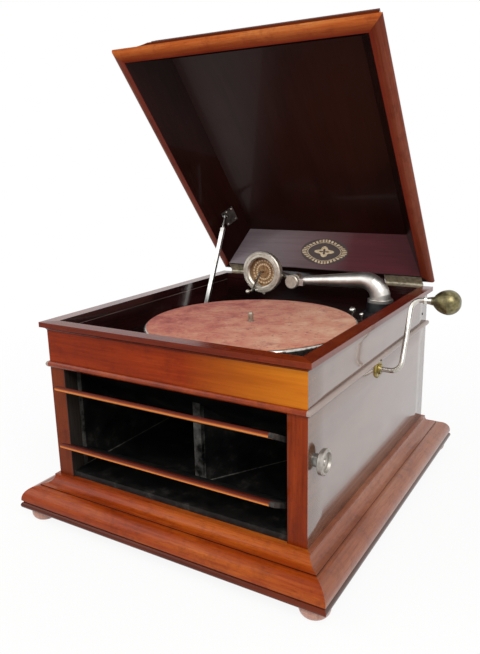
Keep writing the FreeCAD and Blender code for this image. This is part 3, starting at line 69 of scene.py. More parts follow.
def lid_face(normal, offset, width=HAIR_MM):
    """A plane of the closed lid, normal . p = offset in millimetres, as the same plane on the open
    lid, with the width over which a tone changes there."""
    turned = lid_turn @ np.array(normal, float)
    return tuple(turned), offset * MM + float(turned @ pin), width * MM


def linear(hex_code):
    """Linear RGBA of an sRGB hex colour: each channel over 255, through the sRGB curve."""
    channels = [int(hex_code[i:i + 2], 16) / 255 for i in (1, 3, 5)]
    return [c / 12.92 if c <= 0.04045 else ((c + 0.055) / 1.055) ** 2.4 for c in channels] + [1.0]


def add(tree, kind, inputs=None, stops=(), **settings):
    """A node with its settings and links. An input is a value or another node's output, and stops
    are the (position, hex) pairs of a colour ramp."""
    made = tree.nodes.new(kind)
    for name, value in settings.items():
        setattr(made, name, value)
    for name, value in (inputs or {}).items():
        if isinstance(value, bpy.types.NodeSocket):
            tree.links.new(value, made.inputs[name])
        else:
            made.inputs[name].default_value = value
    if stops:
        elements = made.color_ramp.elements
        while len(elements) < len(stops):
            elements.new(1.0)
        for element, (position, colour) in zip(elements, stops):
            element.position = position
            element.color = linear(colour)
    return made


def blank(name):
    """An empty node material, its tree, its output node and the piece's own coordinates in
    metres."""
    material = bpy.data.materials.new(name)
    material.use_nodes = True
    tree = material.node_tree
    tree.nodes.clear()
    out = add(tree, "ShaderNodeOutputMaterial")
    return material, tree, out, add(tree, "ShaderNodeTexCoord").outputs["Object"]


def past(tree, place, plane):
    """1 on the far side of a plane (normal, offset, width) and 0 before it, from the dot product
    with the normal. It rises over the width, which is a hair where none is given."""
    normal, offset, width = (*plane, HAIR_MM * MM)[:3]
    reach = add(tree, "ShaderNodeVectorMath", {0: place, 1: normal},
                operation="DOT_PRODUCT").outputs["Value"]
    return add(tree, "ShaderNodeMapRange", {
        "Value": reach, "From Min": offset, "From Max": offset + width}).outputs["Result"]


# Each tone leaf's mahogany strip ends here, and a dark bracket takes up the rest of its front.
strip_end = ((1, 0, 0), 154 * MM)
GRAIN_TURNS = {"x": (0, 0, 0), "y": (0, 0, -math.pi / 2), "z": (0, math.pi / 2, 0),
               "lid_x": (lid_angle, 0, 0), "lid_y": (lid_angle, 0, -math.pi / 2)}

# Features per metre along and across the grain: ribbons some 60 mm apart, streaks 2 to 3 mm wide,
# and pores, which are drawn coarser than real ones so that they show.
RIBBONS = (3.0, 17.0, 17.0)
STREAKS = (12.0, 380.0, 380.0)
PORES = (60.0, 1500.0, 1500.0)
RIBBON_SHARE = 0.68
GRIME_SHARE = 0.7
# Thin dark lines of painted shade along moulding grooves: their share, half width and colour.
GROOVE_SHARE = 0.8
GROOVE_HALF = 0.8 * MM
GROOVE_SHADE = "#1C0804"
HALF_CASE = 0.19


def polished_mahogany(name, grain, tones, gloss=0.14, shine=0.3, ior=1.5, stains=(), lit_rightwards=0.0,
                      grooves=(), relief=0.12):
    """French-polished mahogany: long interlocked grain with dark pores under a clear, slightly
    uneven varnish. The eye gets dark and light streaks, paler ribbons, grime in handled patches
    and a sharp sheen. tones run from dark to light. stains are (tones, planes...) for another tone
    past those planes: wood stains, and in some calls painted light and shade. The rightward share,
    the argument after stains, lightens the wood towards the right as painted light from that side.
    grooves are heights in millimetres where thin dark lines are drawn as painted shade in the
    moulding grooves, and relief is the depth of the open pores."""
    material, tree, out, place = blank(name)
    turned = add(tree, "ShaderNodeMapping", {
        "Vector": place, "Rotation": GRAIN_TURNS[grain]}).outputs["Vector"]
    ribbon_space, streak_space, pore_space = (
        add(tree, "ShaderNodeMapping", {"Vector": turned, "Scale": scale}).outputs["Vector"]
        for scale in (RIBBONS, STREAKS, PORES))
    ribbon = add(tree, "ShaderNodeTexNoise", {
        "Vector": ribbon_space, "Scale": 1.0, "Detail": 6.0, "Roughness": 0.6, "Distortion": 0.7})
    streak = add(tree, "ShaderNodeTexNoise", {
        "Vector": streak_space, "Scale": 1.0, "Detail": 4.0, "Roughness": 0.6})
    pore = add(tree, "ShaderNodeTexNoise", {"Vector": pore_space, "Scale": 1.0, "Detail": 1.0})
    mixed = add(tree, "ShaderNodeMix", {
        0: RIBBON_SHARE, 2: streak.outputs["Fac"], 3: ribbon.outputs["Fac"]}).outputs[0]
    # Painted light: the wood lightens towards the right, the side the light comes from.
    if lit_rightwards:
        across = add(tree, "ShaderNodeSeparateXYZ", {"Vector": place}).outputs["X"]
        mixed = add(tree, "ShaderNodeMath", {0: across, 1: lit_rightwards / HALF_CASE, 2: mixed},
                    operation="MULTIPLY_ADD").outputs[0]
    dark, middle, light = tones
    colour = add(tree, "ShaderNodeValToRGB", {"Fac": mixed},
                 stops=[(0.28, dark), (0.49, middle), (0.72, light)]).outputs["Color"]
    pores = add(tree, "ShaderNodeMapRange", {
        "Value": pore.outputs["Fac"], "From Min": 0.6, "From Max": 0.72,
        "To Min": 0.0, "To Max": 5 * relief}).outputs["Result"]
    grime = add(tree, "ShaderNodeTexNoise", {
        "Vector": place, "Scale": 48.0, "Detail": 9.0, "Roughness": 0.74})
    grime = add(tree, "ShaderNodeMapRange", {
        "Value": grime.outputs["Fac"], "From Min": 0.5, "From Max": 0.74,
        "To Min": 0.0, "To Max": GRIME_SHARE}).outputs["Result"]
    for share in (pores, grime):
        colour = add(tree, "ShaderNodeMix", {0: share, 6: colour, 7: linear(dark)},
                     data_type="RGBA").outputs[2]
    for stain, *planes in stains:
        stained = add(tree, "ShaderNodeValToRGB", {"Fac": mixed},
                      stops=list(zip((0.34, 0.66), stain)))
        share = 1.0
        for plane in planes:
            share = add(tree, "ShaderNodeMath", {0: past(tree, place, plane), 1: share},
                        operation="MULTIPLY").outputs[0]
        colour = add(tree, "ShaderNodeMix", {0: share, 6: colour, 7: stained.outputs["Color"]},
                     data_type="RGBA").outputs[2]
    height = add(tree, "ShaderNodeSeparateXYZ", {"Vector": place}).outputs["Z"]
    # Painted shade: a thin dark line at each moulding groove.
    for level in grooves:
        line = add(tree, "ShaderNodeMath", {0: height, 1: level * MM, 2: GROOVE_HALF},
                   operation="COMPARE").outputs[0]
        line = add(tree, "ShaderNodeMath", {0: line, 1: GROOVE_SHARE},
                   operation="MULTIPLY").outputs[0]
        colour = add(tree, "ShaderNodeMix", {0: line, 6: colour, 7: linear(GROOVE_SHADE)},
                     data_type="RGBA").outputs[2]
    haze = add(tree, "ShaderNodeTexNoise", {"Vector": place, "Scale": 30.0, "Detail": 3.0})
    rough = add(tree, "ShaderNodeMapRange", {
        "Value": haze.outputs["Fac"], "To Min": gloss, "To Max": gloss + 0.16})
    bump = add(tree, "ShaderNodeBump", {
        "Height": pore.outputs["Fac"], "Strength": relief, "Distance": 0.4 * MM})
    shader = add(tree, "ShaderNodeBsdfPrincipled", {
        "Base Color": colour, "Roughness": rough.outputs["Result"], "IOR": ior,
        "Specular IOR Level": shine, "Coat Weight": shine * 0.5, "Coat Roughness": 0.05,
        "Normal": bump.outputs["Normal"]})
    tree.links.new(shader.outputs["BSDF"], out.inputs["Surface"])
    return material


def ebonised_wood(name, edge=None, dusty=()):
    """Pine stained black and left matt: near black under a film of pale dust that gathers in
    patches 20 mm wide. edge is (front plane, across plane) of a leaf: past the first its strip is
    polished mahogany, dark above as painted shade and bright along the lower arris as a painted
    highlight. dusty are the (tones, plane) pairs where dust lies thick."""
    material, tree, out, place = blank(name)
    dust = add(tree, "ShaderNodeTexNoise", {
        "Vector": place, "Scale": 50.0, "Detail": 7.0, "Roughness": 0.7})
    colour = add(tree, "ShaderNodeValToRGB", {"Fac": dust.outputs["Fac"]}, stops=[
        (0.4, "#100F0F"), (0.56, "#1F1E1D"), (0.78, "#4C4945")]).outputs["Color"]
    for tones, plane in dusty:
        film = add(tree, "ShaderNodeValToRGB", {"Fac": dust.outputs["Fac"]},
                   stops=list(zip((0.38, 0.66), tones)))
        colour = add(tree, "ShaderNodeMix", {
            0: past(tree, place, plane), 6: colour, 7: film.outputs["Color"]},
            data_type="RGBA").outputs[2]
    if edge:
        front, (upwards, middle) = edge
        grain_space = add(tree, "ShaderNodeMapping", {
            "Vector": place, "Scale": (14.0, 400.0, 400.0)}).outputs["Vector"]
        streak = add(tree, "ShaderNodeTexNoise", {
            "Vector": grain_space, "Scale": 1.0, "Detail": 3.0})
        rise = add(tree, "ShaderNodeVectorMath", {0: place, 1: upwards},
                   operation="DOT_PRODUCT").outputs["Value"]
        rise = add(tree, "ShaderNodeMapRange", {
            "Value": rise, "From Min": middle - 1.9 * MM, "From Max": middle + 1.3 * MM})
        rise = add(tree, "ShaderNodeMath", {
            0: streak.outputs["Fac"], 1: 0.3, 2: rise.outputs["Result"]},
            operation="MULTIPLY_ADD").outputs[0]
        # The strip is painted bright along the lower arris as a painted highlight and dark above
        # as painted shade.
        strip = add(tree, "ShaderNodeValToRGB", {"Fac": rise}, stops=[
            (0.15, "#D0803E"), (0.45, "#A04A18"), (0.85, "#521808")])
        ends = add(tree, "ShaderNodeMath", {0: past(tree, place, strip_end), 1: -1.0, 2: 1.0},
                   operation="MULTIPLY_ADD").outputs[0]
        strip_share = add(tree, "ShaderNodeMath", {0: past(tree, place, front), 1: ends},
                          operation="MULTIPLY").outputs[0]
        colour = add(tree, "ShaderNodeMix", {
            0: strip_share, 6: colour, 7: strip.outputs["Color"]}, data_type="RGBA").outputs[2]
    level = add(tree, "ShaderNodeMapRange", {
        "Value": dust.outputs["Fac"], "To Min": 0.3, "To Max": 0.75})
    shader = add(tree, "ShaderNodeBsdfPrincipled", {
        "Base Color": colour, "Roughness": level.outputs["Result"], "Specular IOR Level": 0.2})
    tree.links.new(shader.outputs["BSDF"], out.inputs["Surface"])
    return material


def nickel_plate(name, low, middle, high, rough=0.2, mottle=90.0):
    """Old nickel plate over brass, and plain steel: a warm grey mirror, clouded by fine handling
    scratches and faint tarnish. The clouds are mottle per metre."""
    material, tree, out, place = blank(name)
    cloud = add(tree, "ShaderNodeTexNoise", {
        "Vector": place, "Scale": mottle, "Detail": 5.0, "Roughness": 0.65})
    colour = add(tree, "ShaderNodeValToRGB", {"Fac": cloud.outputs["Fac"]},
                 stops=[(0.32, low), (0.5, middle), (0.75, high)])
    level = add(tree, "ShaderNodeMapRange", {
        "Value": cloud.outputs["Fac"], "To Min": rough - 0.06, "To Max": rough + 0.12})
    shader = add(tree, "ShaderNodeBsdfPrincipled", {
        "Base Color": colour.outputs["Color"], "Metallic": 1.0,
        "Roughness": level.outputs["Result"]})
    tree.links.new(shader.outputs["BSDF"], out.inputs["Surface"])
    return material


def aged_brass(name, dark, light, rough=0.3):
    """Lacquered brass gone brown: a soft metallic yellow with darker blotches where the lacquer
    wore off."""
    material, tree, out, place = blank(name)
    blotch = add(tree, "ShaderNodeTexNoise", {"Vector": place, "Scale": 160.0, "Detail": 4.0})
    colour = add(tree, "ShaderNodeValToRGB", {"Fac": blotch.outputs["Fac"]},
                 stops=[(0.35, dark), (0.7, light)])
    level = add(tree, "ShaderNodeMapRange", {
        "Value": blotch.outputs["Fac"], "To Min": rough - 0.08, "To Max": rough + 0.12})
    shader = add(tree, "ShaderNodeBsdfPrincipled", {
        "Base Color": colour.outputs["Color"], "Metallic": 0.85,
        "Roughness": level.outputs["Result"], "Coat Weight": 0.2, "Coat Roughness": 0.1})
    tree.links.new(shader.outputs["BSDF"], out.inputs["Surface"])
    return material


def worn_felt(name):
    """Wool felt, once red: a dry nap with paled, scuffed and soiled patches, faint creases and no
    gloss at all. It is paler towards the right, as painted light from that side."""
    material, tree, out, place = blank(name)
    fade = add(tree, "ShaderNodeTexNoise", {
        "Vector": place, "Scale": 26.0, "Detail": 9.0, "Roughness": 0.74, "Distortion": 0.3})
    # Painted light: the felt turns paler towards the right, mixed with the patchy fading.
    across = add(tree, "ShaderNodeSeparateXYZ", {"Vector": place}).outputs["X"]
    wear_and_light = add(tree, "ShaderNodeMath", {0: across, 1: 0.85, 2: fade.outputs["Fac"]},
                 operation="MULTIPLY_ADD").outputs[0]
    colour = add(tree, "ShaderNodeValToRGB", {"Fac": wear_and_light}, stops=[
        (0.3, "#983F38"), (0.43, "#BA6652"), (0.56, "#C88468"),
        (0.74, "#D6A688")]).outputs["Color"]
    smudge = add(tree, "ShaderNodeTexNoise", {
        "Vector": place, "Scale": 44.0, "Detail": 8.0, "Roughness": 0.7, "Distortion": 0.6})
    fleck = add(tree, "ShaderNodeTexNoise", {"Vector": place, "Scale": 190.0, "Detail": 3.0})
    for spots, start, tone in ((smudge, 0.56, "#8A3C3E"), (fleck, 0.62, "#6A2822")):
        share = add(tree, "ShaderNodeMapRange", {
            "Value": spots.outputs["Fac"], "From Min": start, "From Max": 0.7,
            "To Min": 0.0, "To Max": 0.6}).outputs["Result"]
        colour = add(tree, "ShaderNodeMix", {0: share, 6: colour, 7: linear(tone)},
                     data_type="RGBA").outputs[2]
    nap = add(tree, "ShaderNodeTexNoise", {"Vector": place, "Scale": 1400.0, "Detail": 2.0})
    crease = add(tree, "ShaderNodeTexNoise", {
        "Vector": place, "Scale": 26.0, "Detail": 2.0, "Distortion": 1.6})
    height = add(tree, "ShaderNodeMath", {
        0: crease.outputs["Fac"], 1: 4.0, 2: nap.outputs["Fac"]}, operation="MULTIPLY_ADD")
    bump = add(tree, "ShaderNodeBump", {
        "Height": height.outputs[0], "Strength": 0.4, "Distance": 0.7 * MM})
    shader = add(tree, "ShaderNodeBsdfPrincipled", {
        "Base Color": colour, "Roughness": 0.95, "Specular IOR Level": 0.1, "Sheen Weight": 0.15,
        "Sheen Roughness": 0.5, "Normal": bump.outputs["Normal"]})
    tree.links.new(shader.outputs["BSDF"], out.inputs["Surface"])
    return material


def black_japan(name):
    """Stoved black enamel on cast iron: deep black with a soft orange-peel shine."""
    material, tree, out, place = blank(name)
    peel = add(tree, "ShaderNodeTexNoise", {"Vector": place, "Scale": 420.0, "Detail": 2.0})
    colour = add(tree, "ShaderNodeValToRGB", {"Fac": peel.outputs["Fac"]},
                 stops=[(0.3, "#0A0A0B"), (0.8, "#17161A")])
    bump = add(tree, "ShaderNodeBump", {
        "Height": peel.outputs["Fac"], "Strength": 0.15, "Distance": 0.5 * MM})
    shader = add(tree, "ShaderNodeBsdfPrincipled", {
        "Base Color": colour.outputs["Color"], "Roughness": 0.3,
        "Normal": bump.outputs["Normal"]})
    tree.links.new(shader.outputs["BSDF"], out.inputs["Surface"])
    return material


def varnished_card(name, centre):
    """The soundbox's card disc under brown varnish, printed with plain broken rings. The rings
    follow the distance from the disc's centre, and the breaks the angle round it."""
    card_radius = 25.0 * MM
    dashes = 23.0
    material, tree, out, place = blank(name)
    local = add(tree, "ShaderNodeVectorMath", {0: place, 1: tuple(-centre)},
                operation="ADD").outputs[0]
    flat = add(tree, "ShaderNodeVectorMath", {0: local, 1: (1, 0, 1)},
               operation="MULTIPLY").outputs[0]
    radius = add(tree, "ShaderNodeVectorMath", {0: flat}, operation="LENGTH").outputs["Value"]
    share = add(tree, "ShaderNodeMath", {0: radius, 1: card_radius},
                operation="DIVIDE").outputs[0]
    rings = add(tree, "ShaderNodeValToRGB", {"Fac": share}, stops=[
        (0.0, "#000000"), (0.44, "#000000"), (0.48, "#FFFFFF"), (0.55, "#FFFFFF"),
        (0.59, "#000000"), (0.69, "#000000"), (0.73, "#FFFFFF"), (0.80, "#FFFFFF"),
        (0.84, "#000000"), (1.0, "#000000")]).outputs["Color"]
    split = add(tree, "ShaderNodeSeparateXYZ", {"Vector": local}).outputs
    angle = add(tree, "ShaderNodeMath", {0: split["Z"], 1: split["X"]},
                operation="ARCTAN2").outputs[0]
    wave = add(tree, "ShaderNodeMath", {0: angle, 1: dashes}, operation="MULTIPLY").outputs[0]
    wave = add(tree, "ShaderNodeMath", {0: wave}, operation="SINE").outputs[0]
    dash = add(tree, "ShaderNodeMapRange", {
        "Value": wave, "From Min": -0.9, "From Max": -0.3}).outputs["Result"]
    print_level = add(tree, "ShaderNodeMath", {0: rings, 1: dash},
                      operation="MULTIPLY").outputs[0]
    age = add(tree, "ShaderNodeTexNoise", {"Vector": place, "Scale": 240.0, "Detail": 4.0})
    ground = add(tree, "ShaderNodeValToRGB", {"Fac": age.outputs["Fac"]},
                 stops=[(0.35, "#6E4C2E"), (0.65, "#A6825A")])
    colour = add(tree, "ShaderNodeMix", {
        0: print_level, 6: ground.outputs["Color"], 7: linear("#E4C8A4")},
        data_type="RGBA").outputs[2]
    shader = add(tree, "ShaderNodeBsdfPrincipled", {
        "Base Color": colour, "Roughness": 0.35, "Specular IOR Level": 0.35})
    tree.links.new(shader.outputs["BSDF"], out.inputs["Surface"])
    return material


def gilt_transfer(name):
    """A gold transfer under varnish on a dark brown ground: a beaded oval frame, a thin line and a
    rosette, drawn on the patch's own UV from the radius and angle of an ellipse."""
    beads, petals = 34.0, 4.0
    material, tree, out, place = blank(name)
    uv = add(tree, "ShaderNodeUVMap", uv_map="oval").outputs["UV"]
    local = add(tree, "ShaderNodeVectorMath", {0: uv, 1: (-0.5, -0.5, 0)},
                operation="ADD").outputs[0]
    radius = add(tree, "ShaderNodeVectorMath", {0: local}, operation="LENGTH").outputs["Value"]
    split = add(tree, "ShaderNodeSeparateXYZ", {"Vector": local}).outputs
    angle = add(tree, "ShaderNodeMath", {0: split["Y"], 1: split["X"]},
                operation="ARCTAN2").outputs[0]
    bead = add(tree, "ShaderNodeMath", {0: angle, 1: beads}, operation="MULTIPLY").outputs[0]
    bead = add(tree, "ShaderNodeMath", {0: bead}, operation="SINE").outputs[0]
    bead = add(tree, "ShaderNodeMath", {0: bead, 1: -0.35}, operation="GREATER_THAN").outputs[0]
    petal = add(tree, "ShaderNodeMath", {0: angle, 1: petals}, operation="MULTIPLY").outputs[0]
    petal = add(tree, "ShaderNodeMath", {0: petal}, operation="COSINE").outputs[0]
    petal = add(tree, "ShaderNodeMath", {0: petal, 1: 0.045, 2: 0.15},
                operation="MULTIPLY_ADD").outputs[0]
    lobe = add(tree, "ShaderNodeMath", {0: radius, 1: petal}, operation="SUBTRACT").outputs[0]
    lobe = add(tree, "ShaderNodeMath", {0: lobe, 1: -0.035, 2: 0.05},
               operation="COMPARE").outputs[0]
    frame_band = add(tree, "ShaderNodeMath", {0: radius, 1: 0.43, 2: 0.05},
                     operation="COMPARE").outputs[0]
    frame_band = add(tree, "ShaderNodeMath", {0: frame_band, 1: bead},
                     operation="MULTIPLY").outputs[0]
    line = add(tree, "ShaderNodeMath", {0: radius, 1: 0.355, 2: 0.009},
               operation="COMPARE").outputs[0]
    gold = add(tree, "ShaderNodeMath", {0: frame_band, 1: line}, operation="MAXIMUM").outputs[0]
    gold = add(tree, "ShaderNodeMath", {0: gold, 1: lobe}, operation="MAXIMUM").outputs[0]
    wear = add(tree, "ShaderNodeTexNoise", {"Vector": place, "Scale": 300.0, "Detail": 4.0})
    leaf = add(tree, "ShaderNodeValToRGB", {"Fac": wear.outputs["Fac"]},
               stops=[(0.35, "#B89C74"), (0.7, "#EAD8B4")])
    colour = add(tree, "ShaderNodeMix", {
        0: gold, 6: linear("#3A2420"), 7: leaf.outputs["Color"]}, data_type="RGBA").outputs[2]
    shader = add(tree, "ShaderNodeBsdfPrincipled", {
        "Base Color": colour, "Roughness": 0.3, "Specular IOR Level": 0.3})
    tree.links.new(shader.outputs["BSDF"], out.inputs["Surface"])
    return material


def surface(name, sheets, finish, body, uv=None):
    """A mesh from grids of points, each face joining four neighbours. Equal points are merged, so
    that seams, poles and sheets that share an edge close, and the faces are turned outwards. uv
    names a map of the grid's own two parameters, from 0 to 1."""
    points = []
    faces = []
    places = []
    for sheet in sheets:
        rows, columns = sheet.shape[:2]
        index = sum(len(p) for p in points) + np.arange(rows * columns).reshape(rows, columns)
        faces.append(np.stack([index[:-1, :-1], index[:-1, 1:], index[1:, 1:], index[1:, :-1]],
                              -1).reshape(-1, 4))
        points.append(sheet.reshape(-1, 3))
        across, along = np.meshgrid(np.linspace(0, 1, columns), np.linspace(0, 1, rows))
        places.append(np.stack([across, along], -1).reshape(-1, 2))
    mesh = bpy.data.meshes.new(name)
    corners = np.concatenate(faces)
    mesh.from_pydata(np.concatenate(points).tolist(), [], corners.tolist())
    if uv:
        mesh.uv_layers.new(name=uv).data.foreach_set(
            "uv", np.concatenate(places)[corners.ravel()].ravel())
    work = bmesh.new()
    work.from_mesh(mesh)
    bmesh.ops.remove_doubles(work, verts=work.verts, dist=0.002 * MM)
    bmesh.ops.recalc_face_normals(work, faces=work.faces)
    work.to_mesh(mesh)
    work.free()
    mesh.polygons.foreach_set("use_smooth", np.ones(len(mesh.polygons), bool))
    mesh.materials.append(finish)
    made = bpy.data.objects.new(name, mesh)
    bpy.context.scene.collection.objects.link(made)
    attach(made, body)
    return made


def slotted_screw(centre, outwards, radius, turn, rise):
    """Top and bottom sheets of a screw head. A square grid (u, v) becomes a disc by
    x = u * sqrt(1 - v^2 / 2), y = v * sqrt(1 - u^2 / 2); its height is a dome, rise times the
    radius, that falls to the seat at the edge, less a slot where |u| is small."""
    slot_half, slot_depth, sunk = 0.125, 0.2, -0.3
    half = np.array([0.12, 0.13, 0.2, 0.45, 0.7, 0.92, 1])
    steps = np.concatenate([-half[::-1], [0], half])
    u, v = np.meshgrid(steps, np.linspace(-1, 1, len(steps)))
    x = u * np.sqrt(1 - v ** 2 / 2)
    y = v * np.sqrt(1 - u ** 2 / 2)
    from_middle = np.minimum(np.hypot(x, y), 1)
    at_edge = from_middle > 0.999
    dome = rise * np.sqrt(1 - from_middle ** 2 * 0.96)
    dome = np.where((np.abs(u) < slot_half) & (from_middle < 0.97), dome - slot_depth, dome)
    dome = np.where(at_edge, 0.0, dome)
    axis = np.array(outwards, float) / np.linalg.norm(outwards)
    side = np.cross(axis, (0.0, 0.0, 1.0) if abs(axis[2]) < 0.9 else (1.0, 0.0, 0.0))
    side /= np.linalg.norm(side)
    other = np.cross(axis, side)
    first = math.cos(turn) * side + math.sin(turn) * other
    second = math.cos(turn) * other - math.sin(turn) * side
    flat = (x[..., None] * first + y[..., None] * second) * radius
    return [np.array(centre) + flat + height[..., None] * axis * radius
            for height in (dome, np.where(at_edge, 0.0, sunk))]


def felt_disc(centre, hole, edge, low, high):
    """A disc of cloth, as a closed loop of (radius, height) carried round the spindle: up the
    hole, out over the top with the last millimetre rounded by a quarter circle, and back
    underneath."""
    top_rows, round_steps = 40, 193
    bend = np.linspace(0, math.pi / 2, 7)
    lift = (high - low) * 0.9
    radius = np.concatenate([[hole, hole], np.linspace(hole, edge - lift, top_rows)[1:-1],
                             edge - lift + lift * np.sin(bend), [edge, hole]])
    height = np.concatenate([[low, high], np.full(top_rows - 2, high),
                             high - lift + lift * np.cos(bend), [low, low]])
    round_angle = np.linspace(0, 2 * math.pi, round_steps)
    x = centre[0] + np.outer(radius, np.cos(round_angle))
    y = centre[1] + np.outer(radius, np.sin(round_angle))
    return np.stack([x, y, np.repeat(height[:, None], round_steps, 1)], -1)


def veneer_sheet(face, side, low, high, thickness):
    """Outer and inner sheets of a veneer on the plane x = face, between two (y, z) corners: a grid
    whose edge rows lie on the plane and whose other rows stand off by the thickness, so that the
    arris is chamfered."""
    inset = 0.3 * MM
    y = np.concatenate([[low[0]], np.linspace(low[0] + inset, high[0] - inset, 12), [high[0]]])
    z = np.concatenate([[low[1]], np.linspace(low[1] + inset, high[1] - inset, 8), [high[1]]])
    along, above = np.meshgrid(y, z)
    flush = np.zeros(along.shape)
    proud = flush.copy()
    proud[1:-1, 1:-1] = thickness
    return [np.stack([face + side * height, along, above], -1) for height in (proud, flush)]


def rounded_bar(start, end, middle, half_wide, half_high):
    """A bar along X with a rounded section: the loop y = half_wide * |cos|^0.4,
    z = half_high * |sin|^0.4, each with its own sign, carried from start to end, with both ends
    drawn in to a point at the section's middle."""
    turn = np.linspace(0, 2 * math.pi, 49)
    wide = half_wide * np.sign(np.cos(turn)) * np.abs(np.cos(turn)) ** 0.4
    high = half_high * np.sign(np.sin(turn)) * np.abs(np.sin(turn)) ** 0.4
    high[-1] = high[0] = 0.0
    x, share = (np.array(values, float)
                for values in zip((start, 0), (start, 1), (end, 1), (end, 0)))
    return np.stack([np.repeat(x[None, :], len(turn), 0), middle[0] + np.outer(wide, share),
                     middle[1] + np.outer(high, share)], -1)


def paint(finish, *names):
    """Give CAD nodes that finish in their one material slot."""
    for name in names:
        mesh = nodes[name].data
        mesh.materials.clear()
        mesh.materials.append(finish)


# Case woods. Inside the well they are stained dark, and the horn's mouth is dusty black. Each
# plane stands a touch before the face that it stains.
rail_tones = ("#5C1C07", "#90380E", "#B65E1C")
rim_tones = ("#46120A", "#68220E", "#823614")
apron_tones = ("#621A05", "#882C08", "#A8480E")
post_tones = ("#5A1C07", "#84300C", "#9C4412")
well_tones = ("#180808", "#341414")
horn_tones = ("#120D0B", "#3A3430")
# Pale grey painted on the bead's outer faces: a painted reflection of the bright room.
painted_reflection_tones = ("#8C7A74", "#A8988F")
touch = 0.5 * MM
apron_low, apron_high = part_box("apron")
inside_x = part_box("side_panel_right")[0][0]
side_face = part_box("side_panel_right")[1][0]
rim_in_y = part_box("rim_back")[0][1]
mouth_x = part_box("post_right")[0][0]
bead_low, bead_high = (corner[2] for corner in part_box("bead_moulding"))
back_wall = (well_tones, ((0, -1, 0), -rim_in_y - touch))
ledge = (well_tones, ((0, 0, 1), apron_high[2] - touch))
# Heights in millimetres of the plinth's moulding grooves, which carry lines of painted shade.
plinth_grooves = (27, 49)
plinth_foot = ((0, 0, -1), -plinth_grooves[0] * MM)
# Height of the rim's moulding groove, which carries a line of painted shade.
rim_grooves = (273.2,)
# The apron's right part is painted lighter, as painted light from that side.
painted_light_right = (("#B4600E", "#D07E1A"), ((1, 0, 0), 0.03, 0.16))
paint(polished_mahogany("mahogany_apron", "x", apron_tones, shine=0.07, stains=[
    painted_light_right, (well_tones, ((0, 1, 0), apron_high[1] - touch)), ledge]), "apron")
paint(polished_mahogany("mahogany_post_left", "z", ("#441407", "#64230A", "#783410"), shine=0.08,
                        stains=[(horn_tones, ((1, 0, 0), -mouth_x - touch))]), "post_left")
paint(polished_mahogany("mahogany_post_right", "z", post_tones, shine=0.08,
                        stains=[(horn_tones, ((-1, 0, 0), -mouth_x - touch))]), "post_right")
# The plinth's front and back lighten towards the right as painted light.
paint(polished_mahogany("mahogany_plinth_across", "x", rail_tones, shine=0.14, lit_rightwards=0.05,
                        grooves=plinth_grooves, stains=[(("#3E1408", "#6A2A12"), plinth_foot)]),
      "plinth_front", "plinth_back")
paint(polished_mahogany("mahogany_plinth_along", "y", ("#602E1A", "#8A4A2C", "#A26646"), shine=0.4,
                        grooves=plinth_grooves, stains=[(("#3A2018", "#5C3A2C"), plinth_foot)]),
      "plinth_left", "plinth_right")
# The bead's outer faces carry a painted reflection of the bright room.
paint(polished_mahogany("mahogany_bead", "y", post_tones, shine=0.2, stains=[
    (painted_reflection_tones, ((1, 0, 0), side_face)), (painted_reflection_tones, ((-1, 0, 0), side_face)),
    (post_tones[:2], ((0, 0, -1), -bead_low - 1.6 * MM))]), "bead_moulding")
paint(polished_mahogany("mahogany_rim_front", "x", ("#4A140A", "#70260E", "#8C3C14"), shine=0.1,
                        grooves=rim_grooves, stains=[
                            (well_tones, ((0, 1, 0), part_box("rim_front")[1][1] - touch))]),
      "rim_front")
paint(polished_mahogany("mahogany_rim_back", "x", rim_tones, grooves=rim_grooves,
                        stains=[back_wall]), "rim_back")
paint(polished_mahogany("mahogany_back", "x", rail_tones, shine=0.2, stains=[back_wall, ledge]),
      "back_panel")
bloomed = polished_mahogany("mahogany_bloomed", "y", ("#4E3224", "#6A4A3A", "#7E6050"), gloss=0.1,
                            shine=0.9, ior=1.85, relief=0.0)
joint_low, joint_high = 270.2 * MM, 270.9 * MM
for side, word in ((1, "right"), (-1, "left")):
    inner_wall = ((-side, 0, 0), -inside_x - touch)
    wall = (well_tones, inner_wall)
    # A pale line on each inner wall where rim and side panel meet: a painted highlight along the
    # ridge there.
    joint_highlight = (("#3A2A26", "#A09088"), inner_wall, ((0, 0, 1), joint_low),
                  ((0, 0, -1), -joint_high))
    paint(polished_mahogany(f"mahogany_rim_{word}", "y", rim_tones, shine=0.36,
                            grooves=rim_grooves, stains=[wall, joint_highlight]), f"rim_{word}")
    paint(polished_mahogany(f"mahogany_side_{word}", "y", post_tones,
                            stains=[wall, ledge, joint_highlight]), f"side_panel_{word}")
paint(polished_mahogany("mahogany_feet", "z", ("#8A5A44", "#B08070", "#C8A090")), "feet")

# Lid woods: the inner faces are stained nearly black. Each rail's foot is darkened along its inner
# edge as painted shade, as far out as the last column says, and its cove is darkened as painted
# shade; the rear wall's inner face is painted paler grey towards the left as a painted reflection.
# Planes and distances are those of the closed lid, whose walls lean in by slope.
slope = 34 / 58
lean = math.hypot(1, slope)
side_foot, front_foot, rear_foot = 180.4, 436.4, -20.6
lid_ceiling = 58.4
cove_start, cove_blend = 9, 1.5
rail_foot = 1.2
inner_dark = ("#150A08", "#24130F")
# Painted shade along the inner edge of each rail's foot.
foot_shade = ("#561A10", "#7A2C1C")
# Painted shade in each rail's cove.
cove_shade = ("#421608", "#642A14")
side_tones = ("#4E1C12", "#703422", "#8E503C")
front_tones = ("#74301A", "#AC5828", "#C08048")
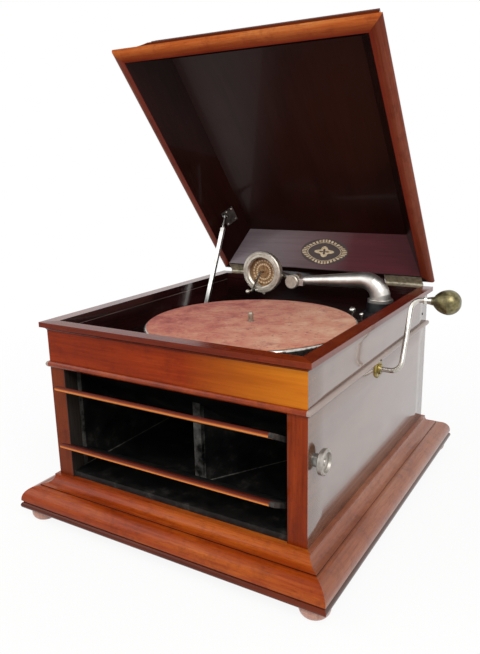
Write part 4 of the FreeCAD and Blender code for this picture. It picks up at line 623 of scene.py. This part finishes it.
# Painted reflection: the rear wall's inner face turns pale grey towards the left.
rear_sheen = (("#6E6064", "#8E8286"), ((-1, 0, 0), -0.06, 0.2))
for name, grain, tones, stain, shine, out_x, out_y, inner, shade_reach in (
        ("lid_left", "lid_y", side_tones, ("#1C0A08", "#2C1410"), 0.1, -1, 0, side_foot, 10),
        ("lid_right", "lid_y", side_tones, inner_dark, 0.14, 1, 0, side_foot, 10),
        ("lid_front", "lid_x", front_tones, inner_dark, 0.0, 0, -1, front_foot, 18),
        ("lid_back", "lid_x", side_tones, ("#40121A", "#601F28"), 0.22, 0, 1, rear_foot, 10)):
    inside = lid_face(np.array([-out_x, -out_y, -slope]) / lean, (-inner - 0.6) / lean)
    stains = [(foot_shade, lid_face((-out_x, -out_y, 0), -inner - shade_reach, shade_reach - 1)),
              (cove_shade, lid_face((0, 0, 1), cove_start, cove_blend)), (stain, inside)]
    # The rear wall gets its painted grey reflection on the left, and its foot the dark inner
    # stain.
    if name == "lid_back":
        stains += [(*rear_sheen, inside), (inner_dark, lid_face((0, 0, -1), -rail_foot))]
    paint(polished_mahogany(f"mahogany_{name}", grain, tones, shine=shine, ior=1.3,
                            stains=stains), name)
paint(polished_mahogany("mahogany_lid_panel", "lid_y", ("#260C06", "#44190C", "#5A2A14"),
                        gloss=0.24, shine=0.14, stains=[
                            (("#220D09", "#2E1510"), lid_face((0, 0, -1), -lid_ceiling))]),
      "lid_panel")
paint(polished_mahogany("mahogany_motor_board", "y", ("#0E0706", "#1C0E0C", "#2A1613"), shine=0.2),
      "motor_board")

# Horn and tone leaves. Dust lies along the feet of the horn's boards, on their front edges and on
# the splitter's nose post. A leaf's front strip starts this far in front of its pivot, along the
# tilted leaf.
strip_start = 20 * MM
dust_reach = 7 * MM
horn_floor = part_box("floor_board")[1][2]
nose_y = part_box("horn_splitter")[0][1]
foot_dust = (("#3A3835", "#8A8680"), ((0, 0, -1), -horn_floor - 1.6 * MM))
nose_dust = (("#161514", "#7E7C78"), ((0, -1, 0), -nose_y - dust_reach))
scuffed = (("#121110", "#74716C"), ((0, -1, 0), -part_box("horn_walls")[0][1] - dust_reach))
bracket_dust = (("#1E1C1B", "#4E4A47"), strip_end)
paint(ebonised_wood("ebonised_floor"), "floor_board", "horn_roof")
paint(ebonised_wood("ebonised_walls", dusty=[scuffed, foot_dust]), "horn_walls")
paint(ebonised_wood("ebonised_splitter", dusty=[nose_dust, foot_dust]), "horn_splitter")
leaf_tilt = math.radians(28)
ahead = np.array([0.0, -math.cos(leaf_tilt), math.sin(leaf_tilt)])
over = np.array([0.0, math.sin(leaf_tilt), math.cos(leaf_tilt)])
for word in ("upper", "lower"):
    pivot = np.array(joints[f"leaf_{word}_tilt"]["pos_m"])
    strip = ((tuple(ahead), float(pivot @ ahead) + strip_start),
             (tuple(over), float(pivot @ over)))
    paint(ebonised_wood(f"ebonised_leaf_{word}", edge=strip, dusty=[bracket_dust]),
          f"tone_leaf_{word}")

# Metals, and the card of the soundbox.
bright = nickel_plate("nickel_bright", "#A09A90", "#C9C4BC", "#DEDAD2", rough=0.26, mottle=60.0)
satin = nickel_plate("nickel_satin", "#B2A89A", "#CEC6B8", "#E0DACE", rough=0.46)
steel = nickel_plate("steel_grey", "#6E6A64", "#8E8B86", "#A8A49E", rough=0.3)
zinc = nickel_plate("steel_zinced", "#9E9C98", "#C4C2BE", "#DAD8D4", rough=0.3)
pale_brass = aged_brass("brass_plate", "#8A8274", "#C8BEAA", rough=0.5)
paint(bright, "turntable", "soundbox_stem", "crank_arm", "crank_ferrule", "brake_lever",
      "speed_lever")
paint(nickel_plate("nickel_arm", "#C6C1BA", "#DCD8D2", "#E8E5E0", rough=0.38, mottle=40.0),
      "tonearm")
paint(satin, "soundbox_body", "soundbox_ring", "joint_cap", "needle_screw")
paint(nickel_plate("nickel_worn", "#86807A", "#A49E97", "#BCB6AE", rough=0.42), "tone_knob")
paint(zinc, "stay_bar")
paint(nickel_plate("steel_plate", "#565452", "#7C7A78", "#9A9896", rough=0.4), "stay_bracket")
paint(steel, "stylus_bar", "needle", "tone_shaft", "tone_link", "motor_frame",
      "mainspring_barrel", "winding_arbor", "intermediate_wheel", "governor", "crank_shaft")
paint(aged_brass("brass_bulb", "#544C32", "#8C825A", rough=0.36), "crank_handle")
paint(aged_brass("brass_escutcheon", "#5A4C20", "#A8924A"), "crank_escutcheon")
paint(pale_brass, "hinge_rim_leaves", "hinge_lid_leaves", "turntable_spindle")
paint(black_japan("black_japan"), "tonearm_base")
card_low, card_high = (np.array(corner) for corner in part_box("diaphragm"))
card_centre = (card_low + card_high) / 2
paint(varnished_card("card_diaphragm", card_centre), "diaphragm")

# Side veneers run unbroken from the front corner to the back, above and below the bead. Their
# thick varnish has bloomed and mirrors the bright room, so they read pale grey.
veneer = 0.25 * MM
panel_low, panel_high = (np.array(corner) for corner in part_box("side_panel_right"))
front_y = apron_low[1]
back_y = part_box("back_panel")[1][1]
for side, word in ((1, "right"), (-1, "left")):
    face = side * panel_high[0]
    sheets = veneer_sheet(face, side, (front_y, panel_low[2]), (back_y, bead_low), veneer)
    sheets += veneer_sheet(face, side, (front_y, bead_high), (back_y, panel_high[2]), veneer)
    surface(f"side_veneer_{word}", sheets, bloomed, "cabinet")

# Bead along the foot of the lid's back rail, between the hinges.
bead_reach = 117
bead_middle = (-5.4, 2.0)
surface("lid_back_bead", [in_lid(rounded_bar(-bead_reach, bead_reach, bead_middle, 7.6, 1.6))],
        polished_mahogany("mahogany_lid_bead", "x", ("#14080A", "#241012", "#34181A"), shine=0.14),
        "lid")

# Felt on the turntable: cloth in the place of the plain solid.
felt_low, felt_high = (np.array(corner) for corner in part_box("turntable_felt"))
felt_middle = (felt_low + felt_high) / 2
felt_edge = (felt_high[0] - felt_low[0]) / 2
spindle_hole = 4.4 * MM
felt = surface("felt_cover", [felt_disc(felt_middle, spindle_hole, felt_edge,
                                        felt_low[2] + 0.02 * MM, felt_high[2] - 0.1 * MM)],
               worn_felt("felt_worn"), "turntable_set")
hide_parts("turntable_felt")

# Gilt oval on the lid's rear wall, a fifth of a millimetre proud of the stained face. A square
# grid becomes a disc as for the screws, and then an ellipse.
oval_x, oval_z, oval_wide, oval_high, oval_proud = 8, 27.5, 44, 19.5, 0.2
across, up = np.meshgrid(np.linspace(-1, 1, 49), np.linspace(-1, 1, 25))
round_x = across * np.sqrt(1 - up ** 2 / 2)
round_z = up * np.sqrt(1 - across ** 2 / 2)
wall_z = oval_z + oval_high * round_z
oval = in_lid(np.stack([oval_x + oval_wide * round_x, rear_foot - slope * wall_z - oval_proud,
                        wall_z], -1))
surface("gilt_oval", [oval], gilt_transfer("gold_transfer"), "lid", uv="oval")

# Slotted screws: three in the escutcheon, three in each hinge leaf, one in the right side, four in
# the stay bracket, and the two pivot screws of the soundbox's lug. Those of the hinges lie almost
# flush, because the leaves fold together.
plate_low, plate_high = (np.array(corner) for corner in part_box("crank_escutcheon"))
crank_axis = (plate_low + plate_high) / 2
plate_face = plate_low[0] + 3 * MM
screw_circle = 9.6 * MM
case_screws = []
for count in range(3):
    angle = math.radians(90 + 120 * count)
    spot = crank_axis + screw_circle * np.array([0, math.cos(angle), math.sin(angle)])
    spot[0] = plate_face
    case_screws += slotted_screw(spot, (1, 0, 0), 1.7 * MM, angle, 0.3)
rim_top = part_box("rim_back")[1][2]
hinge_radius, hinge_rise = 2.6 * MM, 0.07
hinge_inset = 11
leaf_screws = []
for x in (-170, -150, -130, 130, 150, 170):
    case_screws += slotted_screw((x * MM, pin[1] - hinge_inset * MM, rim_top), (0, 0, 1),
                                 hinge_radius, 0.4 * x, hinge_rise)
    leaf_screws += slotted_screw(in_lid([x, -hinge_inset, 0.3]), lid_turn @ np.array([0, 0, -1]),
                                 hinge_radius, 0.7 * x, hinge_rise)
surface("screws_case", case_screws, pale_brass, "cabinet")
side_spot = (side_face + veneer, 201 * MM, 243 * MM)
surface("screw_side", slotted_screw(side_spot, (1, 0, 0), 1.8 * MM, 1.2, 0.2),
        nickel_plate("steel_blued", "#1A1A1C", "#2C2B2E", "#48464A", rough=0.35), "cabinet")
surface("screws_lid", leaf_screws, pale_brass, "lid")

bracket_lean = math.atan(slope)
bracket_foot = np.array([-165.8, -108, 25.3])
bracket_thick = 2
plate_out = np.array([math.cos(bracket_lean), 0, -math.sin(bracket_lean)])
plate_up = np.array([math.sin(bracket_lean), 0, math.cos(bracket_lean)])
bracket_screws = []
for along, above in ((-11.5, 10), (-11.5, 20.5), (11.5, 20.5), (11.5, 3.5)):
    spot = bracket_foot + (0, along, 0) + bracket_thick * plate_out + above * plate_up
    bracket_screws += slotted_screw(in_lid(spot), lid_turn @ plate_out, 2.0 * MM, along + above,
                                    0.3)
surface("screws_bracket", bracket_screws, satin, "lid")

lug_slant = math.radians(35)
lug_reach, lug_half = 31.8 * MM, 9.5 * MM
lug_middle = card_centre - lug_reach * np.array([math.sin(lug_slant), 0, math.cos(lug_slant)])
lug_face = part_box("soundbox_ring")[0][1] + 0.5 * MM
lug_screws = []
for side in (-1, 1):
    spot = lug_middle + side * lug_half * np.array([math.cos(lug_slant), 0, -math.sin(lug_slant)])
    spot[1] = lug_face
    lug_screws += slotted_screw(spot, (0, -1, 0), 2.2 * MM, 0.5 * side, 0.45)
surface("screws_lug", lug_screws, bright, "soundbox")

# Pale paper floor. Seen from the camera it is mostly plain white, and wholly so from a metre or so
# away, so that only the soft shadow shows on it.
floor_half = 9
floor_material, tree, out, place = blank("paper_floor")
path = add(tree, "ShaderNodeLightPath").outputs
mirrored = add(tree, "ShaderNodeMath", {
    0: path["Is Glossy Ray"], 1: path["Is Transmission Ray"]}, operation="MAXIMUM").outputs[0]
away = add(tree, "ShaderNodeVectorMath", {0: place}, operation="LENGTH").outputs["Value"]
away = add(tree, "ShaderNodeMapRange", {
    "Value": away, "From Min": 0.4, "From Max": 1.2, "To Min": 0.9, "To Max": 1.0})
seen = add(tree, "ShaderNodeMath", {0: path["Is Camera Ray"], 1: away.outputs["Result"]},
           operation="MULTIPLY").outputs[0]
whiten = add(tree, "ShaderNodeMath", {0: mirrored, 1: seen}, operation="MAXIMUM").outputs[0]
paper = add(tree, "ShaderNodeBsdfDiffuse", {"Color": linear("#F6F5F3")})
white = add(tree, "ShaderNodeEmission", {"Color": linear("#FFFFFF"), "Strength": 1.0})
blend = add(tree, "ShaderNodeMixShader", {0: whiten, 1: paper.outputs[0], 2: white.outputs[0]})
tree.links.new(blend.outputs[0], out.inputs["Surface"])
floor_mesh = bpy.data.meshes.new("floor")
floor_mesh.from_pydata([(x * floor_half, y * floor_half, 0)
                        for x, y in ((-1, -1), (1, -1), (1, 1), (-1, 1))], [], [(0, 1, 2, 3)])
floor_mesh.materials.append(floor_material)
floor = bpy.data.objects.new("floor", floor_mesh)
bpy.context.scene.collection.objects.link(floor)

# White room: full strength where it is seen or mirrored, about half as a light.
room_light = 0.55
world = bpy.data.worlds.new("studio")
bpy.context.scene.world = world
world.use_nodes = True
tree = world.node_tree
tree.nodes.clear()
path = add(tree, "ShaderNodeLightPath").outputs
seen = add(tree, "ShaderNodeMath", {0: path["Is Camera Ray"], 1: path["Is Glossy Ray"]},
           operation="MAXIMUM").outputs[0]
seen = add(tree, "ShaderNodeMath", {0: seen, 1: path["Is Transmission Ray"]},
           operation="MAXIMUM").outputs[0]
level = add(tree, "ShaderNodeMapRange", {
    "Value": seen, "To Min": room_light, "To Max": 1.0}).outputs["Result"]
sky = add(tree, "ShaderNodeBackground", {"Color": linear("#FFFFFF"), "Strength": level})
tree.links.new(sky.outputs[0], add(tree, "ShaderNodeOutputWorld").inputs["Surface"])


def softbox(name, spot, aim, width, power):
    """A square area lamp at a spot, facing the aim point."""
    lamp = bpy.data.lights.new(name, "AREA")
    lamp.size = width
    lamp.energy = power
    made = bpy.data.objects.new(name, lamp)
    away = np.array(spot, float) - np.array(aim, float)
    away /= np.linalg.norm(away)
    side = np.cross((0, 0, 1), away)
    side /= np.linalg.norm(side)
    columns = np.column_stack([side, np.cross(away, side), away])
    made.matrix_world = Matrix.Translation(spot) @ Matrix(columns.tolist()).to_4x4()
    bpy.context.scene.collection.objects.link(made)


softbox("key", (1.4, -1.5, 2.0), (0, 0, 0.25), 1.4, 42.0)
softbox("fill", (-1.6, -1.4, 1.4), (0, 0, 0.3), 1.6, 14.0)

# Camera fitted to the case corners: its place in metres, azimuth, elevation and roll in degrees,
# and focal length in pixels of the photograph, which is 480 x 654.
camera_place = (0.46194, -0.79969, 0.48110)
focal_pixels, photo_height = 645.99, 654
azimuth, elevation, roll = (math.radians(a) for a in (31.372, 14.270, -1.230))
towards = np.array([math.sin(azimuth) * math.cos(elevation),
                    -math.cos(azimuth) * math.cos(elevation), math.sin(elevation)])
level_right = np.cross((0, 0, 1), towards)
level_right /= np.linalg.norm(level_right)
level_up = np.cross(towards, level_right)
columns = np.column_stack([math.cos(roll) * level_right + math.sin(roll) * level_up,
                           math.cos(roll) * level_up - math.sin(roll) * level_right, towards])
lens = bpy.data.cameras.new("camera")
lens.sensor_fit = "AUTO"
lens.sensor_width = 36.0
lens.lens = focal_pixels / photo_height * lens.sensor_width
camera = bpy.data.objects.new("camera", lens)
camera.matrix_world = Matrix.Translation(camera_place) @ Matrix(columns.tolist()).to_4x4()
bpy.context.scene.collection.objects.link(camera)
bpy.context.scene.camera = camera
bpy.context.scene.view_settings.view_transform = "Standard"
